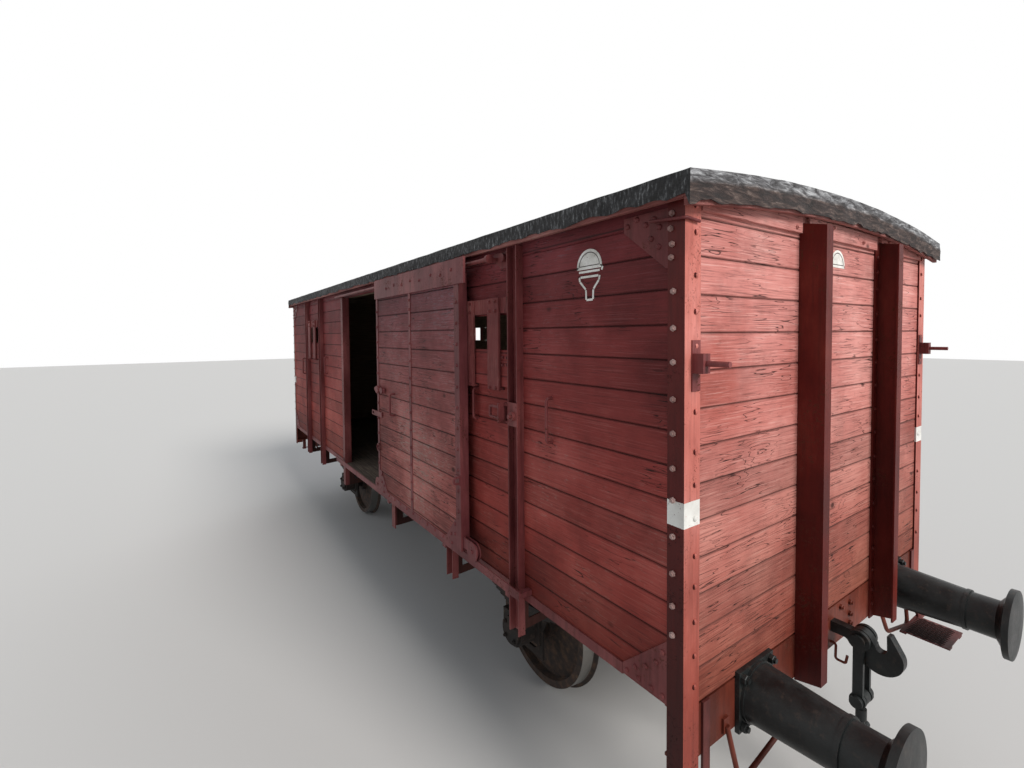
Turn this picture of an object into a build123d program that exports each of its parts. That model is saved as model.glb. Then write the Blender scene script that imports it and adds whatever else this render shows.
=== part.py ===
from build123d import *
import os
from math import acos, cos, degrees, sin, sqrt

# A two-axle covered goods wagon: boarded timber walls in a steel frame, sliding doors, low arched roof.
# X runs along the wagon, Y across it and Z up. The wheel flanges stand on Z = 0. All sizes in millimetres.
# "Right" is the side at negative Y, whose door stands open, and "front" is the end at positive X.

# Overall sizes
body_length = 8000.0
body_width = 2860.0
buffer_reach = 610.0
wheelbase = 4500.0
frame_top = 1168.0
wall_rise = 2215.0

# Walls
board_thick = 30.0
side_board_pitch = 150.0
side_top_joint = 2085.0
end_board_pitch = 161.6
end_first_joint = 160.0
end_joint_count = 13
end_foot = 12.0
groove = 9.0
leaf_gap = 2.0

# Steel uprights
corner_thick = 10.0
corner_side_leg = 83.0
corner_end_leg = 108.0
corner_drop = 290.0
gusset_top = 2140.0
gusset_edge = 2075.0
gusset_foot = 1890.0
gusset_reach = 242.0
low_gusset_reach = 251.0
low_gusset_edge = 51.0
low_gusset_top = 284.0
post_width = 100.0
post_depth = 50.0
post_thick = 8.0
post_drop = 230.0
post_top = 2145.0
outer_post_x = 2825.0
inner_post_x = 1975.0
stanchion_near = 455.0
stanchion_far = 590.0
stanchion_flange = 70.0
stanchion_depth = 130.0
stanchion_thick = 9.0
stanchion_drop = 245.0
stanchion_top = 2180.0
stanchion_cut = 30.0

# Door openings and door leaves
opening_half = 780.0
opening_top = 2080.0
leaf_width = 1650.0
leaf_open_shift = 1465.0
leaf_clear = 56.0
leaf_depth = 61.0
leaf_foot = 100.0
leaf_top = 2040.0
leaf_board = 30.0
weather_foot = 1965.0
weather_top = 2140.0
weather_thick = 18.0
weather_reach = 95.0
strap_thick = 6.0
roller_drop = 141.0
roller_radius = 48.0
roller_cheek = 66.0
roller_width = 16.0
cheek_thick = 8.0
cheek_gap = 18.0
roller_rear_reach = 80.0
roller_front_reach = 125.0
rail_top = 92.0
rail_height = 54.0
rail_thick = 8.0
rail_shift = 36.0
rail_rear = 1000.0
rail_front = 2945.0
guide_end = 2620.0

# Windows and their shutters
window_near = 2160.0
window_far = 2768.0
window_foot = 1518.0
window_top = 1740.0
slat_centres = (2295.0, 2610.0)
slat_width = 130.0
slat_foot = 1262.0
slat_top = 1848.0
slat_thick = 18.0
slat_stand = 32.0
shutter_thick = 20.0
shutter_foot = 1284.0
shutter_height = 232.0

# Floor and underframe
floor_thick = 45.0
plank_count = 17
plank_groove = 6.0
sole_height = 235.0
sole_width = 90.0
sole_web = 10.0
sole_flange = 13.0
sole_outer = 920.0
sill_thick = 8.0
sill_leg = 55.0
bearer_height = 120.0
bearer_width = 60.0
middle_bearer_x = 1400.0
end_bearer_inset = 500.0

# Roof
roof_overhang_side = 65.0
roof_overhang_end = 70.0
roof_crown = 2350.0
roof_edge = 2255.0
felt_thick = 8.0
felt_skirt = 92.0
roof_board_thick = 25.0
bow_depth = 80.0
bow_width = 60.0
end_bow_inset = 100.0
cantrail_height = 70.0
cantrail_width = 70.0
fascia_thick = 22.0
fascia_foot = 2150.0
end_fascia_drop = 140.0
batten_foot = 2125.0
batten_top = 2212.0
batten_thick = 18.0

# Handles, latches and brackets
handle_stand = 39.0
handle_radius = 9.0
handle_bend = 22.0
corner_handle_inset = 860.0
window_handle_x = 2343.0
jamb_handle_x = 1740.0
lock_plate_centre = 1130.0
latch_centre = 1098.0
hasp_centre = 856.0
eye_centre = 600.0
bracket_foot = 1372.0
bracket_top = 1585.0
lamp_pin = 100.0

# Buffers and draw gear
buffer_y = 875.0
buffer_drop = 115.0
buffer_base = 300.0
buffer_base_height = 290.0
buffer_base_thick = 22.0
casing_root_radius = 138.0
casing_radius = 122.0
plunger_show = 208.0
plunger_radius = 112.0
head_radius = 200.0
head_rim = 30.0
hook_drop = 103.0
hook_reach = 150.0
hook_thick = 52.0
shank_height = 60.0
coupling_pin = 20.0
link_length = 343.0
link_thick = 22.0
link_gap = 10.0
screw_length = 190.0
bail_length = 215.0
bail_half = 64.0
bail_radius = 18.0
rest_drop = 290.0

# Grab rods and steps on the headstock
grab_outer = 1112.0
grab_inner = 645.0
grab_rod_radius = 12.0
lug_width = 40.0
tread_thick = 6.0
tread_back = 95.0
tread_depth = 230.0
tread_inner = 845.0
tread_outer = 1140.0
strap_width = 50.0
high_step_drop = 400.0
high_step_inset = 112.0
low_step_drop = 640.0
low_step_inset = 140.0
low_tread_side = 105.0

# Running gear
wheel_radius = 500.0
flange_height = 28.0
wheel_back = 680.0
rim_width = 135.0
axle_radius = 80.0
seat_radius = 92.0
seat_start = 650.0
seat_end = 845.0
hub_start = 668.0
hub_end = 828.0
journal_radius = 58.0
journal_start = 905.0
journal_end = 1075.0
journal_clearance = 1.0
guard_thick = 18.0
guard_leg_gap = 128.0
guard_leg_width = 57.0
guard_reach = 500.0
guard_slot = 480.0
box_half = 125.0
box_front = 1105.0
spring_y = 1000.0
spring_width = 90.0
leaf_thick = 12.0
spring_half = 550.0
spring_rise = 75.0
spring_pin = 14.0
hanger_half = 625.0
hanger_drop = 263.0
leaf_halves = (550.0, 515.0, 455.0, 395.0, 335.0, 275.0, 215.0, 155.0, 95.0)

# Derived places
half_length = body_length / 2
half_width = body_width / 2
jamb_x = opening_half + 50.0
bearer_x = (0.0, jamb_x, middle_bearer_x, inner_post_x, outer_post_x, half_length - end_bearer_inset)
bow_x = (0.0, jamb_x, middle_bearer_x, inner_post_x, outer_post_x, half_length - end_bow_inset)
high_step_strap = half_width - high_step_inset
low_step_strap = half_width - low_step_inset
side_face = half_width - corner_thick
end_face = half_length - corner_thick
side_inner = side_face - board_thick
end_inner = end_face - board_thick
wall_top = frame_top + wall_rise
post_face = side_face + post_depth
leaf_inner = side_face + leaf_clear
rail_y = leaf_inner + rail_shift
axle_z = wheel_radius + flange_height
buffer_z = frame_top - buffer_drop
hook_z = frame_top - hook_drop
rest_z = frame_top - rest_drop
roof_half = half_width + roof_overhang_side
roof_end = half_length + roof_overhang_end
roof_rise = roof_crown - roof_edge
roof_radius = (roof_half**2 + roof_rise**2) / (2 * roof_rise)
leaf_outer = leaf_inner + leaf_depth
guide_z = frame_top + 2095.0
guide_y = leaf_inner + 16.0
guide_radius = 14.0

os.makedirs("parts", exist_ok=True)


def save(piece, name):
    """Label a finished piece and write it as its own STEP file."""
    piece.part.label = name
    export_step(piece.part, f"parts/{name}.step")


def block(x0, x1, y0, y1, z0, z1, mode=Mode.ADD):
    """A plain block between two corners."""
    with Locations(((x0 + x1) / 2, (y0 + y1) / 2, (z0 + z1) / 2)):
        Box(abs(x1 - x0), abs(y1 - y0), abs(z1 - z0), mode=mode)


def both_sides(one):
    """A piece and its copy turned half a circle about the upright axis."""
    with BuildPart() as pair:
        add(one.part)
        add(one.part, rotation=(0, 0, 180))
    return pair


def four_corners(one):
    """A piece on the right front corner with its three mirror images."""
    with BuildPart() as four:
        add(one.part)
        mirror(about=Plane.XZ)
        mirror(about=Plane.YZ)
    return four


def roof_z(drop, y=0.0):
    """Height of the arch that lies a given drop below the roof surface, at a place across the wagon."""
    return frame_top + roof_crown - drop - (roof_radius - sqrt(roof_radius**2 - y**2))


def arch_band(half, top_drop, foot_drop, x0, x1, mode=Mode.ADD):
    """A slab between two parallel arches, from x0 to x1 along the wagon."""
    with BuildSketch(Plane.YZ.offset(x0)) as band:
        with BuildLine():
            ThreePointArc((-half, roof_z(top_drop, half)), (0, roof_z(top_drop)),
                          (half, roof_z(top_drop, half)))
            Line((half, roof_z(top_drop, half)), (half, roof_z(foot_drop, half)))
            ThreePointArc((half, roof_z(foot_drop, half)), (0, roof_z(foot_drop)),
                          (-half, roof_z(foot_drop, half)))
            Line((-half, roof_z(foot_drop, half)), (-half, roof_z(top_drop, half)))
        make_face()
    extrude(band.sketch, amount=x1 - x0, mode=mode)


def rod(points, radius, bend):
    """A round rod along straight runs joined by arcs."""
    with BuildLine() as path:
        FilletPolyline(*points, radius=bend)
    with BuildSketch(Plane(origin=path.line @ 0, z_dir=path.line % 0)) as section:
        Circle(radius)
    sweep(section.sketch, path=path.line)


# Side walls: boards laid lengthwise in lengths that end behind the posts and at the windows
side_joints = [side_board_pitch * n for n in range(1, 14)] + [side_top_joint]
with BuildPart() as side_boards_right:
    block(-end_inner, end_inner, -side_face, -side_inner, frame_top, wall_top)
    jamb = opening_half + post_thick
    block(-jamb, jamb, -side_face, -side_inner, frame_top, frame_top + opening_top, mode=Mode.SUBTRACT)
    for near, far in ((window_near, window_far), (-window_near, -window_far)):
        block(near, far, -side_face, -side_inner, frame_top + window_foot, frame_top + window_top,
              mode=Mode.SUBTRACT)
    for x in (-outer_post_x, -inner_post_x, -jamb, jamb, inner_post_x, outer_post_x):
        block(x - leaf_gap / 2, x + leaf_gap / 2, -side_face, -side_inner, frame_top, wall_top,
              mode=Mode.SUBTRACT)
    for sign in (-1, 1):
        for z in (frame_top + window_foot, frame_top + window_top):
            block(sign * inner_post_x, sign * outer_post_x, -side_face, -side_inner, z - leaf_gap / 2,
                  z + leaf_gap / 2, mode=Mode.SUBTRACT)
    with BuildSketch(Plane.YZ):
        for joint in side_joints:
            with Locations((-side_face, frame_top + joint)):
                Rectangle(groove, groove, rotation=45)
    extrude(amount=half_length, both=True, mode=Mode.SUBTRACT)
save(side_boards_right, "side_boards_right")
with BuildPart() as side_boards_left:
    add(side_boards_right.part, rotation=(0, 0, 180))
save(side_boards_left, "side_boards_left")

# End walls: boards laid across up to the roof arch, with proud battens along the top
end_joints = [end_first_joint + end_board_pitch * n for n in range(end_joint_count)]
batten_bays = (
    (-half_width + corner_end_leg + leaf_gap, -stanchion_near - leaf_gap),
    (-stanchion_near + stanchion_flange + leaf_gap, stanchion_far - stanchion_flange - leaf_gap),
    (stanchion_far + leaf_gap, half_width - corner_end_leg - leaf_gap),
)
with BuildPart() as end_boards_front:
    block(end_inner, end_face, -side_face, side_face, frame_top + end_foot, roof_z(0))
    with BuildSketch(Plane.XZ):
        for joint in end_joints:
            with Locations((end_face, frame_top + joint)):
                Rectangle(groove, groove, rotation=45)
    extrude(amount=half_width, both=True, mode=Mode.SUBTRACT)
    for y0, y1 in batten_bays:
        block(end_face, end_face + batten_thick, y0, y1, frame_top + batten_foot, frame_top + batten_top)
    arch_band(half_width, -roof_rise, felt_thick + roof_board_thick, end_inner - 1, roof_end,
              mode=Mode.SUBTRACT)
save(end_boards_front, "end_boards_front")
with BuildPart() as end_boards_rear:
    add(end_boards_front.part, rotation=(0, 0, 180))
save(end_boards_rear, "end_boards_rear")

# Corner posts: rolled angles that wrap each corner and run down past the headstock
with BuildPart() as corner_post:
    foot = frame_top - corner_drop
    top = frame_top + wall_rise + corner_thick
    block(half_length - corner_side_leg, half_length, -half_width, -side_face, foot, top)
    block(end_face, half_length, -half_width, -half_width + corner_end_leg, foot, top)
save(four_corners(corner_post), "corner_posts")

# Side posts: channels bolted to the boards by the web, flanges outward, feet below the floor
with BuildPart() as side_post:
    for x in (outer_post_x, inner_post_x):
        foot = frame_top - post_drop
        top = frame_top + post_top
        block(x - post_width / 2, x + post_width / 2, -post_face, -side_face, foot, top)
        block(x - post_width / 2 + post_thick, x + post_width / 2 - post_thick, -post_face,
              -side_face - post_thick, foot, top, mode=Mode.SUBTRACT)
save(four_corners(side_post), "side_posts")

# Door posts: angles that line the ends of the boards at each side of the opening
with BuildPart() as door_post:
    foot = frame_top - post_drop
    top = frame_top + opening_top
    block(opening_half, jamb, -post_face, -side_inner, frame_top + floor_thick, top)
    block(opening_half, jamb, -post_face, -side_face, foot, frame_top + floor_thick)
    block(opening_half, opening_half + post_width * 0.8, -post_face, -post_face + post_thick, foot, top)
save(four_corners(door_post), "door_posts")

# Gusset plates on the side boards at the top and bottom of each corner post
with BuildPart() as gusset:
    inner = half_length - corner_side_leg
    with BuildSketch(Plane.XZ.offset(side_face)):
        with BuildLine():
            Polyline((inner, frame_top + gusset_top), (inner - gusset_reach, frame_top + gusset_top),
                     (inner - gusset_reach, frame_top + gusset_edge),
                     (inner - 12, frame_top + gusset_foot), (inner, frame_top + gusset_foot), close=True)
        make_face()
        with BuildLine():
            Polyline((inner, frame_top), (inner - low_gusset_reach, frame_top),
                     (inner - low_gusset_reach, frame_top + low_gusset_edge),
                     (inner, frame_top + low_gusset_top), close=True)
        make_face()
    extrude(amount=sill_thick)
save(four_corners(gusset), "corner_gussets")

# End stanchions: deep channels that stand on the headstock face, flanges towards the middle
with BuildPart() as stanchion:
    foot = frame_top - stanchion_drop
    top = frame_top + stanchion_top
    outer = end_face + stanchion_depth
    for web, inward in ((-stanchion_near, 1), (stanchion_far, -1)):
        tip = web + inward * stanchion_flange
        with BuildSketch(Plane.XZ.offset(-max(web, web + inward * stanchion_thick))):
            with BuildLine():
                Polyline((end_face, foot), (outer, foot + stanchion_cut), (outer, top - stanchion_cut),
                         (end_face, top), close=True)
            make_face()
        extrude(amount=stanchion_thick)
        block(end_face, end_face + stanchion_thick, web, tip, foot, top)
        block(outer - stanchion_thick, outer, web, tip, foot + stanchion_cut, top - stanchion_cut)
save(both_sides(stanchion), "end_stanchions")

# Cantrails: long timbers inside the wall heads, which carry the roof bows
with BuildPart() as cantrails:
    foot = roof_z(felt_thick + roof_board_thick + bow_depth, side_inner) - cantrail_height
    for side in (-1, 1):
        block(-end_inner, end_inner, side * side_inner, side * (side_inner - cantrail_width), foot,
              foot + cantrail_height)
save(cantrails, "cantrails")

# Roof bows: arched timbers across the wagon
with BuildPart() as roof_bows:
    under = felt_thick + roof_board_thick
    for x in sorted({sign * x for x in bow_x for sign in (-1, 1)}):
        arch_band(side_inner, under, under + bow_depth, x - bow_width / 2, x + bow_width / 2)
save(roof_bows, "roof_bows")

# Roof boards and the felt that covers them and hangs over every edge
with BuildPart() as roof_boards:
    arch_band(roof_half - 12, felt_thick, felt_thick + roof_board_thick, 12 - roof_end, roof_end - 12)
save(roof_boards, "roof_boards")
with BuildPart() as roof_felt:
    arch_band(roof_half, 0, felt_skirt, -roof_end, roof_end)
    arch_band(roof_half - 12, felt_thick, felt_skirt + roof_rise, 12 - roof_end, roof_end - 12,
              mode=Mode.SUBTRACT)
save(roof_felt, "roof_felt")

# Fascias: strips under the roof edge, straight along the sides and arched across the ends
with BuildPart() as roof_fascias:
    outer = roof_half - 12
    for side in (-1, 1):
        block(-half_length - 30, half_length + 30, side * outer, side * (outer - fascia_thick),
              frame_top + fascia_foot, roof_z(felt_thick + roof_board_thick, outer))
    for x0 in (half_length + 32, -half_length - 32 - fascia_thick):
        arch_band(outer, felt_thick + roof_board_thick, end_fascia_drop, x0, x0 + fascia_thick)
save(roof_fascias, "roof_fascias")

# Floor planks laid lengthwise, with a groove at each joint
with BuildPart() as floor_planks:
    block(-end_inner, end_inner, -side_inner, side_inner, frame_top, frame_top + floor_thick)
    with BuildSketch(Plane.YZ):
        with Locations((0, frame_top + floor_thick / 2)):
            with GridLocations(2 * side_inner / plank_count, floor_thick, plank_count - 1, 2):
                Rectangle(plank_groove, plank_groove, rotation=45)
    extrude(amount=end_inner, both=True, mode=Mode.SUBTRACT)
save(floor_planks, "floor_planks")

# Door sills: threshold timbers that close the floor edge in each door opening
with BuildPart() as door_sill:
    block(-opening_half, opening_half, -side_face - 30, -side_inner, frame_top, frame_top + floor_thick)
save(both_sides(door_sill), "door_sills")

# Sole bars: channels under the floor, webs outward
sole_end = end_face - sole_width
with BuildPart() as sole_bars:
    with BuildSketch(Plane.YZ):
        for side in (-1, 1):
            with Locations((side * (sole_outer - sole_width / 2), frame_top - sole_height / 2)):
                Rectangle(sole_width, sole_height)
            with Locations((side * (sole_outer - sole_web - sole_width / 2), frame_top - sole_height / 2)):
                Rectangle(sole_width, sole_height - 2 * sole_flange, mode=Mode.SUBTRACT)
    extrude(amount=sole_end, both=True)
save(sole_bars, "sole_bars")

# Headstocks: channels across each end, webs outward, with a slot for the draw hook
with BuildPart() as headstocks:
    for sign in (-1, 1):
        with BuildSketch(Plane.XZ):
            with Locations((sign * (end_face - sole_width / 2), frame_top - sole_height / 2)):
                Rectangle(sole_width, sole_height)
            with Locations((sign * (end_face - sole_web - sole_width / 2), frame_top - sole_height / 2)):
                Rectangle(sole_width, sole_height - 2 * sole_flange, mode=Mode.SUBTRACT)
        extrude(amount=side_face, both=True)
        with Locations((sign * end_face, 0, hook_z)):
            Box(4 * sole_web, hook_thick, shank_height, mode=Mode.SUBTRACT)
save(headstocks, "headstocks")

# Side sills: angles under the foot of the side boards, cut back at the posts and gussets
with BuildPart() as side_sill:
    reach = half_length - corner_side_leg - low_gusset_reach - leaf_gap
    block(-sole_end, sole_end, -side_face, -side_face + 80, frame_top - sill_thick, frame_top)
    block(-reach, reach, -side_face - sill_thick, -side_face, frame_top - sill_thick,
          frame_top - sill_thick + sill_leg)
    for x in (-outer_post_x, -inner_post_x, inner_post_x, outer_post_x):
        block(x - post_width / 2, x + post_width / 2, -post_face, -side_face, frame_top - sill_thick,
              wall_top, mode=Mode.SUBTRACT)
    block(-opening_half - post_width, opening_half + post_width, -post_face, -side_face,
          frame_top - sill_thick, wall_top, mode=Mode.SUBTRACT)
save(both_sides(side_sill), "side_sills")

# Cross bearers between the sole bars
bearer_places = sorted({sign * x for x in bearer_x for sign in (-1, 1)})
with BuildPart() as cross_bearers:
    reach = sole_outer - sole_width
    for x in bearer_places:
        block(x - bearer_width / 2, x + bearer_width / 2, -reach, reach, frame_top - bearer_height, frame_top)
        block(x - bearer_width / 2 + sole_web, x + bearer_width / 2, -reach, reach,
              frame_top - bearer_height + sole_web, frame_top - sole_web, mode=Mode.SUBTRACT)
save(cross_bearers, "cross_bearers")

# Side brackets: plates that carry each post foot and the body side from the sole bar
bracket_x = (outer_post_x, inner_post_x, opening_half + post_thick / 2)
bracket_places = [sign * x for x in bracket_x for sign in (-1, 1)]
with BuildPart() as side_bracket:
    with BuildSketch(Plane.YZ):
        with BuildLine():
            Polyline((-sole_outer, frame_top - sill_thick), (-side_face, frame_top - sill_thick),
                     (-side_face, frame_top - post_drop), (-side_face + 45, frame_top - post_drop),
                     (-sole_outer - 120, frame_top - post_drop + 20), (-sole_outer, frame_top - sole_height),
                     close=True)
        make_face()
        with BuildLine():
            Polyline((-sole_outer - 70, frame_top - 60), (-side_face + 60, frame_top - 60),
                     (-side_face + 60, frame_top - post_drop + 60),
                     (-sole_outer - 150, frame_top - post_drop + 75),
                     (-sole_outer - 70, frame_top - post_drop + 75), close=True)
        make_face(mode=Mode.SUBTRACT)
    extrude(amount=post_thick / 2, both=True)
with BuildPart() as side_brackets:
    for x in bracket_places:
        for turn in (0, 180):
            with Locations(Location((x, 0, 0), (0, 0, turn))):
                add(side_bracket.part)
    for x in (-inner_post_x, inner_post_x):
        for side in (-1, 1):
            block(x - post_thick, x + post_thick, side * sole_outer, side * (sole_outer + guard_thick),
                  frame_top - sole_height, frame_top, mode=Mode.SUBTRACT)
save(side_brackets, "side_brackets")

# Window slats: upright boards that stand off the wall and guide the shutters
with BuildPart() as window_slat:
    outer = side_face + slat_stand
    block(window_near, window_far + 4, -outer, -side_face, frame_top + window_top + 10, frame_top + slat_top)
    for x in slat_centres:
        block(x - slat_width / 2, x + slat_width / 2, -outer - slat_thick, -outer, frame_top + slat_foot,
              frame_top + slat_top)
        block(x - slat_width / 2, x + slat_width / 2, -outer, -side_face, frame_top + slat_foot,
              frame_top + shutter_foot - 6)
save(four_corners(window_slat), "window_slats")

# Window shutters: sliding panels, lowered
shutter_back = side_face + (slat_stand - shutter_thick) / 2
for side_name, side in (("right", -1), ("left", 1)):
    for end_name, end in (("front", 1), ("rear", -1)):
        with BuildPart() as window_shutter:
            block(end * (window_near - 8), end * (window_far - 4), side * shutter_back,
                  side * (shutter_back + shutter_thick), frame_top + shutter_foot,
                  frame_top + shutter_foot + shutter_height)
        save(window_shutter, f"window_shutter_{side_name}_{end_name}")

# Door leaves. Each is drawn closed on the right side and then shifted or turned into place.
leaf_half = leaf_width / 2
with BuildPart() as leaf_boards:
    block(-leaf_half, leaf_half, -leaf_outer, -leaf_outer + leaf_board, frame_top + leaf_foot,
          frame_top + leaf_top)
    with BuildSketch(Plane.YZ):
        for joint in side_joints[:13]:
            with Locations((-leaf_outer, frame_top + joint)):
                Rectangle(groove, groove, rotation=45)
    extrude(amount=leaf_half, both=True, mode=Mode.SUBTRACT)

with BuildPart() as leaf_frame:
    foot = frame_top + leaf_foot
    top = frame_top + leaf_top
    back = -leaf_outer + leaf_board
    face = -leaf_outer - strap_thick
    for sign, flange in ((1, 70.0), (-1, 42.0)):
        edge = sign * (leaf_half + strap_thick)
        block(edge, sign * leaf_half, face, -leaf_inner, foot, top)
        block(edge, edge - sign * flange, face, -leaf_outer, foot, frame_top + weather_foot)
        block(sign * leaf_half, sign * (leaf_half - 60), back, -leaf_inner, foot, top)
    for z in (foot, frame_top + 1000, top - 60):
        block(-leaf_half + 60, leaf_half - 60, back, -leaf_inner, z, z + 60)
    block(-45, -5, face, -leaf_outer, foot, frame_top + weather_foot)
    block(-leaf_half, leaf_half, face, -leaf_outer, foot, foot + 36)
    with BuildSketch(Plane.XZ.offset(leaf_outer)):
        for sign in (-1, 1):
            with BuildLine():
                Polyline((sign * leaf_half, foot), (sign * (leaf_half - 230), foot),
                         (sign * (leaf_half - 230), foot + 36), (sign * (leaf_half - 70), foot + 210),
                         (sign * leaf_half, foot + 210), close=True)
            make_face()
    extrude(amount=strap_thick)
    block(-leaf_half - 10, leaf_half + weather_reach, -leaf_outer - weather_thick, -leaf_outer,
          frame_top + weather_foot, frame_top + weather_top)
    for x in (-700, 700):
        block(x - 20, x + 20, -leaf_outer, -leaf_outer + 12, top, guide_z + guide_radius + 14)
        block(x - 20, x + 20, -leaf_outer, -leaf_inner - 4, guide_z + guide_radius + 6,
              guide_z + guide_radius + 14)

# Rollers in forked brackets at the foot of each leaf, which run along the bottom rail
with BuildPart() as leaf_rollers:
    for edge, x in ((-leaf_half - strap_thick, -leaf_half - roller_rear_reach),
                    (leaf_half + strap_thick, leaf_half + roller_front_reach)):
        z = frame_top + roller_drop
        for inner in (rail_y - cheek_gap / 2 - cheek_thick, rail_y + cheek_gap / 2):
            with BuildSketch(Plane.XZ.offset(inner)):
                with Locations((x, z)):
                    Circle(roller_cheek)
                with Locations(((x + edge) / 2, z + 28)):
                    Rectangle(abs(x - edge), 76)
            extrude(amount=cheek_thick)
        with Locations(Location((x, -rail_y, z), (90, 0, 0))):
            Cylinder(roller_radius, roller_width)
            Cylinder(14, cheek_gap + 4 * cheek_thick)

# Latch gear on each leaf: grab bar, hasp, latch lever and a ring
latch_face = leaf_outer + strap_thick
with BuildPart() as leaf_latch:
    z = frame_top + latch_centre
    block(-leaf_half - 30, -leaf_half + 230, -latch_face - 22, -latch_face - 8, z - 16, z + 16)
    for x, radius in ((-leaf_half + 60, 36), (-leaf_half + 180, 30)):
        with Locations(Location((x, -latch_face - 16, z), (90, 0, 0))):
            Cylinder(radius, 32)
    z = frame_top + hasp_centre
    with BuildSketch(Plane.XZ.offset(latch_face)):
        with Locations((-leaf_half - 10, z)):
            Rectangle(270, 48)
        with Locations((-leaf_half - 105, z)):
            Rectangle(42, 20, mode=Mode.SUBTRACT)
    extrude(amount=9)
    rod([(-390, -leaf_outer, frame_top + 895), (-390, -leaf_outer - 48, frame_top + 895),
         (-390, -leaf_outer - 48, frame_top + 1090), (-390, -leaf_outer, frame_top + 1090)],
        handle_radius, handle_bend)
    with Locations(Location((-leaf_half + 24, -latch_face - 8, frame_top + 530), (90, 0, 0))):
        Torus(32, 7)
    z = frame_top + eye_centre
    block(leaf_half - 62, leaf_half + 2, -latch_face - 8, -latch_face, z - 34, z + 34)
    rod([(leaf_half - 12, -latch_face, z + 22), (leaf_half - 12, -latch_face - 44, z + 22),
         (leaf_half - 12, -latch_face - 44, z - 22), (leaf_half - 12, -latch_face, z - 22)], 8, 18)

door_pieces = (("door_boards", leaf_boards), ("door_frame", leaf_frame), ("door_rollers", leaf_rollers),
               ("door_latch", leaf_latch))
for piece_name, piece in door_pieces:
    with BuildPart() as right_piece:
        with Locations((leaf_open_shift, 0, 0)):
            add(piece.part)
    save(right_piece, f"{piece_name}_right")
    with BuildPart() as left_piece:
        add(piece.part, rotation=(0, 0, 180))
    save(left_piece, f"{piece_name}_left")

# Bottom rails on brackets from the posts, and the round bars that guide the heads of the leaves
with BuildPart() as door_rail:
    foot = frame_top + rail_top - rail_height
    block(-rail_rear, rail_front, -rail_y - rail_thick / 2, -rail_y + rail_thick / 2, foot,
          frame_top + rail_top)
    for x in (-opening_half - 30, opening_half + 30, inner_post_x, outer_post_x):
        block(x - 25, x + 25, -rail_y - rail_thick / 2, -post_face, foot - 24, foot)
    block(rail_front - 40, rail_front, -rail_y + rail_thick / 2, -side_face, foot + 12, foot + 42)
save(both_sides(door_rail), "door_rails")
guide_plate_front = outer_post_x - post_width / 2 - 8
with BuildPart() as door_guide:
    with Locations(Location((-rail_rear, -guide_y, guide_z), (0, 90, 0))):
        Cylinder(guide_radius, rail_rear + guide_end, align=(Align.CENTER, Align.CENTER, Align.MIN))
    for x, back in ((-opening_half - 120, side_face), (opening_half + 120, side_face),
                    (inner_post_x, post_face),
                    (guide_end - 20, side_face)):
        block(x - 20, x + 20, -guide_y + 4, -back, guide_z - 10, guide_z + 10)
    with Locations(Location((guide_end - 12, -guide_y, guide_z), (0, 90, 0))):
        Cylinder(guide_radius + 14, 24)
    with BuildSketch(Plane.XZ.offset(side_face)):
        with BuildLine():
            Polyline((guide_end - 40, guide_z + 40), (guide_end - 40, guide_z - 10),
                     (guide_end + 40, guide_z - 62),
                     (guide_plate_front, guide_z - 62), (guide_plate_front, guide_z + 40), close=True)
        make_face()
    extrude(amount=10)
    with Locations(Location((guide_end + 75, -side_face - 22, guide_z + 2), (90, 0, 0))):
        Cylinder(26, 26)
save(both_sides(door_guide), "door_guides")

# Lock plates on the outer posts, each with a boss, a keeper that stands off the post and a bent hasp rod
with BuildPart() as lock_plate:
    plate_mid = frame_top + lock_plate_centre
    keeper_x = outer_post_x - 86
    block(outer_post_x - 40, outer_post_x + 62, -post_face - 10, -post_face, plate_mid - 71, plate_mid + 71)
    with Locations(Location((outer_post_x + 20, -post_face - 20, plate_mid - 10), (90, 0, 0))):
        Cylinder(27, 20)
        Cylinder(13, 52)
    block(keeper_x, keeper_x + 46, -post_face - 12, -post_face, plate_mid + 46, plate_mid + 62)
    block(keeper_x, keeper_x + 10, -post_face - 52, -side_face - 4, plate_mid - 62, plate_mid + 62)
    block(keeper_x, outer_post_x - 50, -post_face - 2, -side_face - 8, plate_mid - 62, plate_mid - 50)
    rod([(keeper_x, -post_face - 30, plate_mid + 34), (keeper_x - 118, -post_face - 30, plate_mid + 34),
         (keeper_x - 118, -post_face - 30, plate_mid - 34), (keeper_x, -post_face - 30, plate_mid - 34)], 9, 16)
save(both_sides(lock_plate), "lock_plates")

# Grab handles: bent bars on the boards
with BuildPart() as grab_handle:
    corner_handle_x = half_length - corner_handle_inset
    for x, low, high in ((corner_handle_x, 1009, 1258), (-corner_handle_x, 1009, 1258),
                         (window_handle_x, 1037, 1249), (-jamb_handle_x, 1092, 1323)):
        rod([(x, -side_face, frame_top + low), (x, -side_face - handle_stand, frame_top + low),
             (x, -side_face - handle_stand, frame_top + high), (x, -side_face, frame_top + high)],
            handle_radius, handle_bend)
save(both_sides(grab_handle), "grab_handles")

# Lamp brackets on the end legs of the corner posts
with BuildPart() as lamp_bracket:
    block(half_length, half_length + 6, -half_width + 44, -half_width + 100, frame_top + bracket_foot,
          frame_top + bracket_top)
    block(half_length + 6, half_length + 56, -half_width + 44, -half_width + 92, frame_top + bracket_foot + 76,
          frame_top + bracket_top - 55)
    with Locations(Location((half_length + 56, -half_width + 70, frame_top + bracket_foot + 117), (0, 90, 0))):
        Cylinder(12, lamp_pin, align=(Align.CENTER, Align.CENTER, Align.MIN))
save(four_corners(lamp_bracket), "lamp_brackets")

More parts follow.
